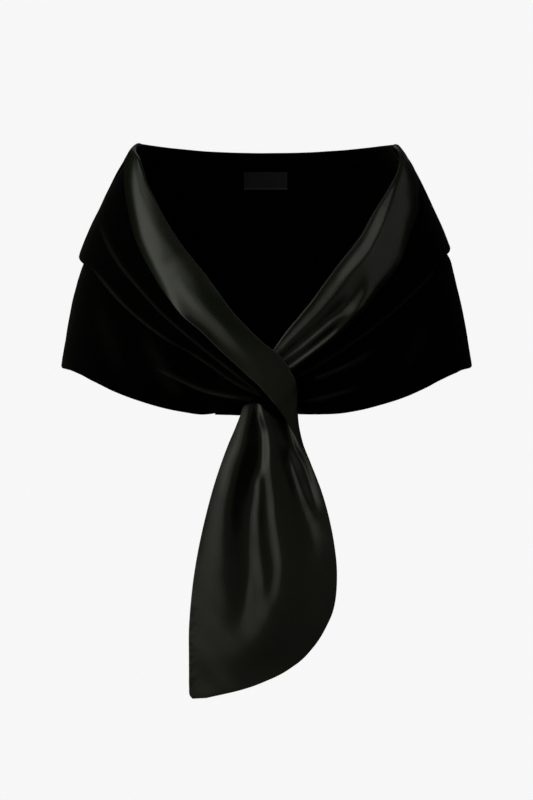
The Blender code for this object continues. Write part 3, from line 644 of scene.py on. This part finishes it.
def row_angles(rows, end, from_seam):
    """Angles round the form of one end of the stations. The first station may lie on a side seam."""
    angles = form_angle(column(rows, end + "_x"), column(rows, end + "_z"))
    if from_seam:
        angles[0] = np.sign(rows[0].edge_x) * math.pi / 2
    return angles


def crown_shape(share, peak):
    """Height of the crown, 1 at the peak and 0 at both edges, steepest at the low edge."""
    towards_edge = 1 - (1 - share / peak) ** 2
    towards_low = 1 - (np.clip(share - peak, 0, None) / (1 - peak)) ** 2
    return np.where(share < peak, towards_edge, towards_low)


def cloth_points(
    rows, spacing, folds=(), strength=1.0, wavy=0.0, rim=None, from_seam=True, tuck=0.0, peak=0.5
):
    """Grid of points of one piece on the form: rows along the stole, columns from neck edge to low edge."""
    knots = station_spacing(rows)
    at = np.linspace(0, knots[-1], math.ceil(knots[-1] / spacing) + 1)
    if from_seam:
        at = np.insert(at, 1, at[1] * SEAM_STRIP)
    read = {name: curve(knots, column(rows, name), at)[:, None] for name in Station._fields}
    edge_angle = curve(knots, row_angles(rows, "edge", from_seam), at)[:, None]
    low_angle = curve(knots, row_angles(rows, "low", from_seam), at)[:, None]
    length = np.hypot(read["low_x"] - read["edge_x"], read["low_z"] - read["edge_z"])
    roll = np.minimum(read["roll"], MOST_ROLL * length)
    groove = faded(at[:, None], SEAM_GROOVE) if from_seam else 0.0

    def lay(share, lift):
        angle = edge_angle + (low_angle - edge_angle) * share
        height = read["edge_z"] + (read["low_z"] - read["edge_z"]) * share
        return lay_on_form(angle, height, lift, groove, folds, strength, FRONT_WAVE, wavy)

    faces = math.ceil(length.max() / spacing)
    share, drop = columns_across((read["inset"] + roll) / length, length, faces, rim)
    free = np.clip((share * length - tuck) / (length - tuck), 0, 1)
    lift = read["edge_lift"] + (read["low_lift"] - read["edge_lift"]) * free
    points, normal = lay(share, lift + read["crown"] * crown_shape(free, peak) - drop)
    if rows[0].roll:
        points = turned_edge(points, normal, lay, read["edge_lift"], roll, length, spacing)
    return points


def ring_points(
    top, low, spacing, folds, strength, wavy, rim, top_lift=LEVEL, low_lift=LEVEL, inset=0.0, roll=0.0
):
    """Grid of points of a piece round the back, between its top and its low edge."""
    half_round = 2 * math.hypot(BACK_RING.half_width, BACK_RING.back_depth)
    turn = np.linspace(0, 1, math.ceil(half_round * BACK_ARC / spacing) + 1)
    strip = turn[1] * SEAM_STRIP
    turn = np.concatenate([[0, strip], turn[1:-1], [1 - strip, 1]])[:, None]
    angle = math.pi / 2 + math.pi * turn
    middle = np.abs(np.cos(angle)) ** BACK_SWAY
    groove = faded(np.minimum(turn, 1 - turn) * half_round, SEAM_GROOVE)

    def around(values):
        side = values.left + (values.right - values.left) * turn
        return side + (values.back - side) * middle

    tall = around(top) - around(low)

    def lay(share, lift):
        height = around(top) - tall * share
        turned = np.broadcast_to(angle, height.shape)
        return lay_on_form(turned, height, lift, groove, folds, strength, BACK_WAVE, wavy)

    faces = math.ceil((tall.max() - inset - roll) / spacing)
    share, drop = columns_across((inset + roll) / tall, tall, faces, rim)
    points, normal = lay(share, around(top_lift) + (around(low_lift) - around(top_lift)) * share - drop)
    if roll:
        points = turned_edge(points, normal, lay, around(top_lift), roll, tall, spacing)
    return points


def hem_puckers(puckers):
    """Short ridges along the tail's left hem, alternately longer and shorter."""
    knots, edge = -column(TAIL, "left_z"), column(TAIL, "left_x")
    ridges = []
    for number, z in enumerate(np.arange(puckers.top_z, puckers.low_z, -puckers.spacing)):
        x = float(curve(knots, edge, -z))
        length = puckers.length * (1 + puckers.uneven * (-1) ** number)
        z = z + puckers.stray * math.sin(puckers.stray_turn * number)
        rows = (x, z, puckers.lift), (x + length, z - puckers.droop, 0)
        ridges.append(fold(*rows, reach=(puckers.reach, puckers.reach)))
    return tuple(ridges)


def tail_points(spacing, strength):
    knots = way_along(np.abs(np.diff(column(TAIL, "left_z"))) + TAIL_ROW_STEP)
    at = np.linspace(0, knots[-1], math.ceil(knots[-1] / spacing) + 1)
    read = {name: curve(knots, column(TAIL, name), at)[:, None] for name in TailRow._fields}
    widest = (read["right_x"] - read["left_x"]).max()
    share = np.linspace(0, 1, math.ceil(widest / spacing) + 1)[None, :]
    x = read["left_x"] + (read["right_x"] - read["left_x"]) * share
    z = read["left_z"] + (read["right_z"] - read["left_z"]) * share
    y = read["left_y"] + (read["right_y"] - read["left_y"]) * share - read["ahead"] * 4 * share * (1 - share)
    y = y - fold_lift(x, z, TAIL_FOLDS + hem_puckers(TAIL_PUCKERS), strength)
    return np.stack([x, y - unevenness(x, z, TAIL_WAVE, TAIL_WAVY), z], axis=-1)


FIRST_END, LAST_END = (0, 1), (-1, -2)  # the row of points at an end and the row that ends its narrow strip


def square_seams(points, *ends):
    """Lays the given ends of the cloth on the side seams and squares the narrow strip beside each."""
    for end, strip in ends:
        points[end, :, 1] = 0
        points[strip, :, 0] = points[end, :, 0]
        points[strip, :, 2] = points[end, :, 2]
    return points


# ---------------------------------------------------------------------------------------------------------
# Shader trees
# ---------------------------------------------------------------------------------------------------------


class Value:
    """A number on its way through a node tree. Arithmetic on it adds Math nodes."""

    def __init__(self, tree, socket):
        self.tree = tree
        self.socket = socket

    def math(self, operation, *numbers):
        sockets = dict(enumerate(numbers))
        return self.tree.node("ShaderNodeMath", {"operation": operation}, sockets).value()

    def __add__(self, other):
        return self.math("ADD", self, other)

    __radd__ = __add__

    def __mul__(self, other):
        return self.math("MULTIPLY", self, other)

    __rmul__ = __mul__


class Node:
    """A node of a tree, read by its outputs' names."""

    def __init__(self, tree, node):
        self.tree = tree
        self.node = node

    def value(self, name=0):
        return Value(self.tree, self.node.outputs[name])


class Tree:
    """The node tree of a material or of the world, emptied and built up again."""

    def __init__(self, owner):
        owner.use_nodes = True
        self.nodes = owner.node_tree.nodes
        self.links = owner.node_tree.links
        self.nodes.clear()

    def node(self, kind, settings=None, sockets=None):
        made = self.nodes.new(kind)
        for name, setting in (settings or {}).items():
            setattr(made, name, setting)
        for name, content in (sockets or {}).items():
            if isinstance(content, Value):
                self.links.new(content.socket, made.inputs[name])
            else:
                made.inputs[name].default_value = content
        return Node(self, made)

    def mix_colours(self, factor, first, second):
        mix = self.node("ShaderNodeMix", {"data_type": "RGBA"}, {0: factor, 6: first, 7: second})
        return mix.value(2)

    def noise(self, place, scale, detail, distortion=0.0):
        """Soft spots, 0 to 1: the larger the scale, the smaller they are."""
        sockets = {"Vector": place, "Scale": scale, "Detail": detail, "Distortion": distortion}
        return self.node("ShaderNodeTexNoise", {}, sockets).value()

    def yarns(self, place, direction, scale, distortion):
        """Parallel yarns across a direction: how high the cloth is at a place, 0 to 1."""
        sockets = {"Vector": place, "Scale": scale, "Distortion": distortion}
        return self.node("ShaderNodeTexWave", {"bands_direction": direction}, sockets).value(1)

    def surface(self, relief, height, strength, sockets):
        """The material's surface: a relief of some height as its bump, and the sockets of its shader."""
        bump = self.node("ShaderNodeBump", {}, {"Strength": strength, "Distance": height, "Height": relief})
        shader = self.node("ShaderNodeBsdfPrincipled", {}, {"Normal": bump.value(), **sockets})
        self.node("ShaderNodeOutputMaterial", {}, {"Surface": shader.value()})


def colour(rgb):
    return (*rgb, 1.0)


def cloth_place(tree):
    """The place on the cloth, in metres."""
    return tree.node("ShaderNodeTexCoord").value("Object")


def velvet(finishes):
    """Dense short pile, nearly black from the front. Painted sheen makes it lighter where it turns away from
    the view, and painted highlights light its sharp creases.
    """
    material = bpy.data.materials.new("stole_velvet")
    tree = Tree(material)
    place = cloth_place(tree)
    pile = tree.noise(place, scale=1400, detail=2.0)
    brushed = tree.noise(place, scale=26, detail=3.0, distortion=0.8)
    turned_away = tree.node("ShaderNodeLayerWeight", {}, {"Blend": 0.5}).value("Facing")
    # Painted highlight along sharp creases and folds, read from the mesh attribute.
    highlit = tree.node("ShaderNodeAttribute", {"attribute_name": PAINTED_HIGHLIGHT}).value("Fac")
    # Painted sheen: the base colour goes lighter where the pile turns away from the view.
    rim = turned_away * turned_away * turned_away * (0.35 + 0.3 * brushed)
    shade = tree.mix_colours(rim, colour(finishes.velvet_pile), colour(finishes.velvet_painted_sheen))
    shade = tree.mix_colours(highlit, shade, colour(finishes.velvet_painted_highlight))
    sockets = {
        "Base Color": shade,
        "Roughness": 0.86 + 0.12 * brushed,
        "Specular IOR Level": finishes.velvet_gloss,
        "Sheen Weight": finishes.velvet_sheen,
        "Sheen Roughness": finishes.velvet_sheen_spread,
        "Sheen Tint": colour(finishes.velvet_sheen_tint),
    }
    tree.surface(pile, finishes.pile_height, strength=0.35, sockets=sockets)
    return material


SLUB_SCALE = (260, 260, 22)  # slubs are long and thin: fine across the warp and coarse along it


def satin(finishes):
    """Smooth warp-faced cloth: a soft gloss, fine ribs and faint slubs along the warp."""
    material = bpy.data.materials.new("stole_satin")
    tree = Tree(material)
    place = cloth_place(tree)
    ribs = tree.yarns(place, "DIAGONAL", scale=700, distortion=0.6)
    picks = tree.yarns(place, "X", scale=420, distortion=0.4)
    drawn_out = tree.node("ShaderNodeVectorMath", {"operation": "MULTIPLY"}, {0: place, 1: SLUB_SCALE})
    slub = tree.noise(drawn_out.value(), scale=1, detail=2.0)
    cloud = tree.noise(place, scale=14, detail=2.0)
    shade = tree.mix_colours(cloud, colour(finishes.satin_dark), colour(finishes.satin_light))
    sockets = {
        "Base Color": shade,
        "Roughness": finishes.satin_roughness - 0.03 + 0.03 * cloud + 0.03 * slub,
        "Specular IOR Level": finishes.satin_gloss,
        "Specular Tint": colour(finishes.satin_gloss_tint),
    }
    relief = ribs * 0.5 + picks * 0.2 + slub * 0.6
    tree.surface(relief, finishes.yarn_height, strength=0.1, sockets=sockets)
    return material


TAPE_RELIEF = 0.0001  # metres


def woven_tape(finishes):
    """Dark ribbed tape of the label, with a painted highlight along its turned-in edges."""
    material = bpy.data.materials.new("stole_woven_tape")
    tree = Tree(material)
    place = cloth_place(tree)
    warp = tree.yarns(place, "X", scale=620, distortion=0.3)
    weft = tree.yarns(place, "Z", scale=480, distortion=0.3)
    weave = warp * weft
    shade = tree.mix_colours(weave, colour(finishes.tape_dark), colour(finishes.tape_light))
    # Painted highlight along the label's turned-in edges, read from the mesh attribute.
    edge = tree.node("ShaderNodeAttribute", {"attribute_name": PAINTED_HIGHLIGHT}).value("Fac")
    shade = tree.mix_colours(edge, shade, colour(finishes.tape_painted_highlight))
    sockets = {"Base Color": shade, "Roughness": 0.6 + 0.15 * weave, "Specular IOR Level": 0.4}
    tree.surface(weave, TAPE_RELIEF, strength=0.5, sockets=sockets)
    return material


FINISHES = {"velvet": velvet, "satin": satin, "woven_tape": woven_tape}


def finish_named(name, finishes):
    return bpy.data.materials.get("stole_" + name) or FINISHES[name](finishes)


# ---------------------------------------------------------------------------------------------------------
# Sewing
# ---------------------------------------------------------------------------------------------------------

SOFT_EDGE = 0.42  # width of a soft edge, as a share of the wall
SHARP_TURN = math.radians(60)  # edges that turn further than this are softened

# The flat cut of each piece: its bounding width and length, its area, and what holds it.
Cut = namedtuple("Cut", "width length area held rests_on")


def cloth_mesh(name, points, nap, turned):
    rows, columns = points.shape[:2]
    index = np.arange(rows * columns).reshape(rows, columns)
    ways = [index[:-1, :-1], index[:-1, 1:], index[1:, 1:], index[1:, :-1]]
    faces = np.stack(ways[::-1] if turned else ways, axis=-1).reshape(-1, 4)
    mesh = bpy.data.meshes.new(name)
    mesh.from_pydata((points.reshape(-1, 3) * MM).tolist(), [], faces.tolist())
    mesh.shade_smooth()
    # Painted highlight share at each point, stored as a mesh attribute.
    highlight_strength = np.clip(np.broadcast_to(nap, (rows, columns)), 0, 1).ravel()
    mesh.attributes.new(PAINTED_HIGHLIGHT, "FLOAT", "POINT").data.foreach_set("value", highlight_strength.astype(np.float32))
    return mesh


def sew(scene, node, points, finish, nap=0.0, turned=False):
    """Makes the piece that stands for a node: a wall of cloth with soft edges from a grid of outer points."""
    wall = getattr(scene.stole_sizes, finish + "_wall")
    piece = bpy.data.objects.new("stole_" + node, cloth_mesh("stole_" + node, points, nap, turned))
    scene.collection.objects.link(piece)
    piece.data.materials.append(finish_named(finish, scene.stole_finishes))
    thicken = piece.modifiers.new("wall", "SOLIDIFY")
    thicken.thickness = wall
    thicken.offset = -1
    soften = piece.modifiers.new("soft edges", "BEVEL")
    soften.width = wall * SOFT_EDGE
    soften.segments = 2
    soften.limit_method = "ANGLE"
    soften.angle_limit = SHARP_TURN
    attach(piece, "root")
    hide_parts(node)


def sew_side(scene, node, finish, spacing, rows, folds=(), nap=(), **shape):
    """Sews a front piece that starts at a side seam. The folds given for its painted highlight tell where
    light is painted along its creases.
    """
    points = cloth_points(rows, spacing, folds, scene.stole_sizes.fold_strength, **shape)
    highlight_strength = painted_crease_highlight(points, nap)
    on_left = rows[0].edge_x > 0
    sew(scene, node, square_seams(points, FIRST_END), finish, highlight_strength, turned=on_left)


# ---------------------------------------------------------------------------------------------------------
# What a user may change
# ---------------------------------------------------------------------------------------------------------


def length_setting(name, description, default):
    return bpy.props.FloatProperty(
        name=name, description=description, default=default, min=0, unit="LENGTH", precision=5
    )


def share_setting(name, description, default, top=1.0):
    return bpy.props.FloatProperty(name=name, description=description, default=default, min=0, max=top)


def colour_setting(name, description, default):
    return bpy.props.FloatVectorProperty(
        name=name, description=description, default=default, size=3, min=0, max=1, subtype="COLOR"
    )


class StoleSizes(bpy.types.PropertyGroup):
    """Sizes of the cloth and how finely it is made."""

    velvet_wall: length_setting("Velvet wall", "Thickness of the velvet with its backing", 0.0018)
    satin_wall: length_setting("Satin wall", "Thickness of the satin with its interlining", 0.0012)
    woven_tape_wall: length_setting("Label wall", "Thickness of the label's tape", 0.0006)
    body_spacing: length_setting("Body mesh", "Spacing of the mesh of the velvet body and collar", 0.0023)
    satin_spacing: length_setting("Satin mesh", "Spacing of the mesh of the facings", 0.0015)
    tail_spacing: length_setting("Tail mesh", "Spacing of the mesh of the tail", 0.0015)
    label_width: length_setting("Label width", "Width of the neck label", 0.053)
    label_height: length_setting("Label height", "Height of the neck label", 0.021)
    fold_strength: share_setting("Fold strength", "Depth of the creases, as a share of its own", 1.0, 2.0)


class StoleFinishes(bpy.types.PropertyGroup):
    """Colours and gloss of the three cloths, and the colours of their painted sheen and painted highlights.
    """

    velvet_pile: colour_setting("Velvet pile", "Pile seen from the front", (0.0005, 0.0008, 0.0004))
    # Painted sheen of the pile where it turns away from the view.
    velvet_painted_sheen: colour_setting("Velvet rim", "Pile where it turns away", (0.024, 0.028, 0.020))
    # Painted highlight along sharp creases of the velvet.
    velvet_painted_highlight: colour_setting("Velvet parted", "Pile parted by a sharp crease", (0.024, 0.028, 0.020))
    velvet_gloss: share_setting("Velvet gloss", "Specular level of the pile", 0.015)
    velvet_sheen: share_setting("Velvet sheen", "Weight of the sheen where the pile turns away", 0.02)
    velvet_sheen_spread: share_setting("Velvet sheen spread", "Roughness of the sheen", 0.35)
    velvet_sheen_tint: colour_setting("Velvet sheen tint", "Colour of the sheen", (0.90, 1.0, 0.85))
    pile_height: length_setting("Pile height", "Height of the pile's relief", 0.0004)
    satin_dark: colour_setting("Satin dark", "Darker clouds of the satin", (0.0036, 0.0050, 0.0007))
    satin_light: colour_setting("Satin light", "Lighter clouds of the satin", (0.0044, 0.0062, 0.0010))
    satin_roughness: share_setting("Satin roughness", "Roughness of the satin's gloss", 0.28)
    satin_gloss: share_setting("Satin gloss", "Specular level of the satin", 0.5)
    satin_gloss_tint: colour_setting("Satin gloss tint", "Colour of the satin's gloss", (0.97, 1.0, 0.86))
    yarn_height: length_setting("Yarn height", "Height of the satin's ribs", 0.00005)
    tape_dark: colour_setting("Tape dark", "Ground of the label's weave", (0.006, 0.006, 0.006))
    tape_light: colour_setting("Tape light", "Raised yarns of the label's weave", (0.013, 0.013, 0.013))
    # Painted highlight on the label's turned-in edges.
    tape_painted_highlight: colour_setting("Tape edge", "Turned-in edges of the label", (0.042, 0.042, 0.040))


class StoleStudio(bpy.types.PropertyGroup):
    """Camera and light."""

    distance: length_setting("Camera distance", "From the camera to the stole", 16.0)
    background: share_setting("Background", "Brightness of the pale floor and background", 0.9301)
    ambient: share_setting("Ambient", "Brightness of the studio's unlit walls", 0.012)
    key: share_setting("Key light", "Radiance of the key light", 0.9, 100.0)


class StoleOperator(bpy.types.Operator):
    """What the operators share: they run at once and can be undone."""

    bl_options = {"REGISTER", "UNDO"}


class STOLE_OT_body(StoleOperator):
    """Sew the velvet body: back, right front, left front and keeper"""

    bl_idname = "stole.sew_body"
    bl_label = "Sew the body"

    def execute(self, context):
        scene, sizes = context.scene, context.scene.stole_sizes
        spacing, strength = sizes.body_spacing / MM, sizes.fold_strength
        back = ring_points(NECK, HEM, spacing, BACK_FOLDS, strength, wavy=0.5, rim=HEM_RIM, inset=BODY_INSET)
        sew(scene, "back", square_seams(back, FIRST_END, LAST_END), "velvet")
        fronts = (
            ("right_front", RIGHT_FRONT, RIGHT_BODY_FOLDS, RIGHT_BODY_PAINTED_HIGHLIGHTS),
            ("left_front", LEFT_FRONT, LEFT_BODY_FOLDS, LEFT_BODY_PAINTED_HIGHLIGHTS),
        )
        for node, rows, folds, nap in fronts:
            sew_side(scene, node, "velvet", spacing, rows, folds, nap, wavy=0.4, rim=HEM_RIM)
        sew(scene, "keeper", cloth_points(KEEPER, spacing, from_seam=False), "velvet")
        return {"FINISHED"}


class STOLE_OT_collar(StoleOperator):
    """Sew the turned-down velvet collar: collar back, right collar and left collar"""

    bl_idname = "stole.sew_collar"
    bl_label = "Sew the collar"

    def execute(self, context):
        scene, sizes = context.scene, context.scene.stole_sizes
        spacing, strength = sizes.body_spacing / MM, sizes.fold_strength
        back = ring_points(
            NECK,
            COLLAR_EDGE,
            spacing,
            COLLAR_BACK_FOLDS,
            strength,
            wavy=0.4,
            rim=COLLAR_RIM,
            top_lift=FOLD_LIFT,
            low_lift=COLLAR_LIFT,
            roll=FOLD_RADIUS,
        )
        sew(scene, "collar_back", square_seams(back, FIRST_END, LAST_END), "velvet")
        sides = (
            ("right_collar", RIGHT_COLLAR, (COLLAR_PLEAT,), RIGHT_COLLAR_PAINTED_HIGHLIGHTS),
            ("left_collar", LEFT_COLLAR, (), LEFT_COLLAR_PAINTED_HIGHLIGHTS),
        )
        for node, rows, folds, nap in sides:
            sew_side(scene, node, "velvet", spacing, rows, folds, nap, rim=COLLAR_RIM, tuck=TUCK)
        return {"FINISHED"}


class STOLE_OT_facings(StoleOperator):
    """Sew the two satin facings along the neck edge"""

    bl_idname = "stole.sew_facings"
    bl_label = "Sew the facings"

    def execute(self, context):
        scene = context.scene
        spacing = scene.stole_sizes.satin_spacing / MM
        facings = (
            ("right_facing", RIGHT_FACING, RIGHT_FACING_FOLDS, RIGHT_PEAK),
            ("left_facing", LEFT_FACING, LEFT_FACING_FOLDS, LEFT_PEAK),
        )
        for node, rows, folds, peak in facings:
            sew_side(scene, node, "satin", spacing, rows, folds, wavy=0.15, rim=FACING_RIM, peak=peak)
        return {"FINISHED"}


class STOLE_OT_tail(StoleOperator):
    """Sew the gathered satin tail that hangs from the knot"""

    bl_idname = "stole.sew_tail"
    bl_label = "Sew the tail"

    def execute(self, context):
        scene, sizes = context.scene, context.scene.stole_sizes
        points = tail_points(sizes.tail_spacing / MM, sizes.fold_strength)
        sew(scene, "tail", points, "satin", turned=True)
        return {"FINISHED"}


class STOLE_OT_label(StoleOperator):
    """Sew the bare woven label inside the neck"""

    bl_idname = "stole.sew_label"
    bl_label = "Sew the label"

    def execute(self, context):
        scene, sizes = context.scene, context.scene.stole_sizes
        low, high = (np.array(corner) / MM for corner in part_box("label"))
        width, height = sizes.label_width / MM, sizes.label_height / MM
        share_x = np.linspace(-0.5, 0.5, LABEL_COLUMNS)[:, None]
        share_z = np.linspace(0, 1, LABEL_ROWS)[None, :]
        x = (low[0] + high[0]) / 2 + width * share_x
        z = high[2] - height * share_z
        x, z = np.broadcast_arrays(x, z)
        angle = math.pi - form_angle(x, z)
        low_swell = faded((1 - share_z) * height, LABEL_LOW_SWELL)
        end_swell = faded((0.5 - np.abs(share_x)) * width, LABEL_END_SWELL)
        inside = LABEL_DEPTH + low_swell + end_swell
        points = form_point(angle, z) - form_normal(angle, z) * inside[..., None]
        # Painted highlight on the label's turned-in edges.
        nap = self.edges(share_x * width, share_z * height, width, height)
        sew(scene, "label", points, "woven_tape", nap)
        return {"FINISHED"}

    @staticmethod
    def edges(across, down, width, height):
        """How strong the painted highlight on the turned-in edges is: the low one most, then the ends, then
        the top.
        """
        ends = faded(width / 2 - np.abs(across), LABEL_END_HIGHLIGHT)
        return faded(height - down, LABEL_LOW_HIGHLIGHT) + ends + faded(down, LABEL_TOP_HIGHLIGHT)


class STOLE_OT_studio(StoleOperator):
    """Set up the pale floor and background, the soft lights and the camera"""

    bl_idname = "stole.set_studio"
    bl_label = "Set up the studio"

    def execute(self, context):
        scene = context.scene
        studio = scene.stole_studio
        scene.view_settings.view_transform = "Standard"
        self.make_background(scene, studio)
        self.make_floor(scene, studio)
        self.hang_lights(scene, studio)
        self.place_camera(scene, studio)
        return {"FINISHED"}

    @staticmethod
    def make_background(scene, studio):
        world = scene.world or bpy.data.worlds.new("studio")
        scene.world = world
        tree = Tree(world)
        seen = tree.node("ShaderNodeLightPath").value("Is Camera Ray")
        walls, pale = (
            tree.node("ShaderNodeBackground", {}, {"Color": colour((brightness,) * 3)}).value()
            for brightness in (studio.ambient, studio.background)
        )
        mix = tree.node("ShaderNodeMixShader", {}, {0: seen, 1: walls, 2: pale}).value()
        tree.node("ShaderNodeOutputWorld", {}, {"Surface": mix})

    @staticmethod
    def make_floor(scene, studio):
        low = CAD_BOX[0].z - FLOOR_GAP
        half = FLOOR_SIZE / 2
        corners = [(-half, -half, low), (half, -half, low), (half, half, low), (-half, half, low)]
        mesh = bpy.data.meshes.new("floor")
        mesh.from_pydata(corners, [], [(0, 1, 2, 3)])
        floor = bpy.data.objects.new("floor", mesh)
        scene.collection.objects.link(floor)
        material = bpy.data.materials.new("pale_floor")
        tree = Tree(material)
        glow = tree.node("ShaderNodeEmission", {}, {"Color": colour((studio.background,) * 3)}).value()
        tree.node("ShaderNodeOutputMaterial", {}, {"Surface": glow})
        mesh.materials.append(material)
        for ray in ("diffuse", "glossy", "transmission", "shadow"):
            setattr(floor, "visible_" + ray, False)

    @staticmethod
    def hang_lights(scene, studio):
        for lamp in LAMPS:
            turn, rise = math.radians(lamp.turn), math.radians(lamp.rise)
            way = Vector((math.sin(turn) * math.cos(rise), -math.cos(turn) * math.cos(rise), math.sin(rise)))
            light = bpy.data.lights.new(lamp.name, "AREA")
            light.shape = "RECTANGLE"
            light.size = 2 * lamp.distance * math.tan(math.radians(lamp.half_wide))
            light.size_y = 2 * lamp.distance * math.tan(math.radians(lamp.half_high))
            light.energy = studio.key * lamp.share * math.pi * light.size * light.size_y
            hung = bpy.data.objects.new(lamp.name, light)
            hung.location = LIGHT_CENTRE + lamp.distance * way
            lean = Quaternion((0, 0, 1), math.radians(lamp.lean))
            hung.rotation_euler = ((-way).to_track_quat("-Z", "Y") @ lean).to_euler()
            hung.visible_camera = False
            scene.collection.objects.link(hung)

    @staticmethod
    def place_camera(scene, studio):
        data = bpy.data.cameras.new("camera")
        data.sensor_width = SENSOR
        data.lens = SENSOR * studio.distance / VIEW_HEIGHT
        data.clip_end = 4 * studio.distance
        camera = bpy.data.objects.new("camera", data)
        camera.location = VIEW_CENTRE - Vector((0, studio.distance, 0))
        camera.rotation_euler = (math.pi / 2, 0, 0)
        scene.collection.objects.link(camera)
        scene.camera = camera


class STOLE_PT_panel(bpy.types.Panel):
    """The stole's settings and operators"""

    bl_idname = "STOLE_PT_panel"
    bl_label = "Evening stole"
    bl_space_type = "VIEW_3D"
    bl_region_type = "UI"
    bl_category = "Stole"

    def draw(self, context):
        for group in SETTINGS:
            settings = getattr(context.scene, group)
            box = self.layout.box()
            for name in settings.__annotations__:
                box.prop(settings, name)
        for operator in OPERATORS:
            self.layout.operator(operator.bl_idname)


SETTINGS = {"stole_sizes": StoleSizes, "stole_finishes": StoleFinishes, "stole_studio": StoleStudio}
OPERATORS = (STOLE_OT_body, STOLE_OT_collar, STOLE_OT_facings, STOLE_OT_tail, STOLE_OT_label, STOLE_OT_studio)
CLASSES = (*SETTINGS.values(), *OPERATORS, STOLE_PT_panel)


def register():
    for cls in CLASSES:
        bpy.utils.register_class(cls)
    for name, group in SETTINGS.items():
        setattr(bpy.types.Scene, name, bpy.props.PointerProperty(type=group))


def unregister():
    for name in SETTINGS:
        delattr(bpy.types.Scene, name)
    for cls in reversed(CLASSES):
        bpy.utils.unregister_class(cls)


def main():
    register()
    bpy.ops.stole.sew_body()
    bpy.ops.stole.sew_collar()
    bpy.ops.stole.sew_facings()
    bpy.ops.stole.sew_tail()
    bpy.ops.stole.sew_label()
    bpy.ops.stole.set_studio()


if __name__ == "__main__":
    main()
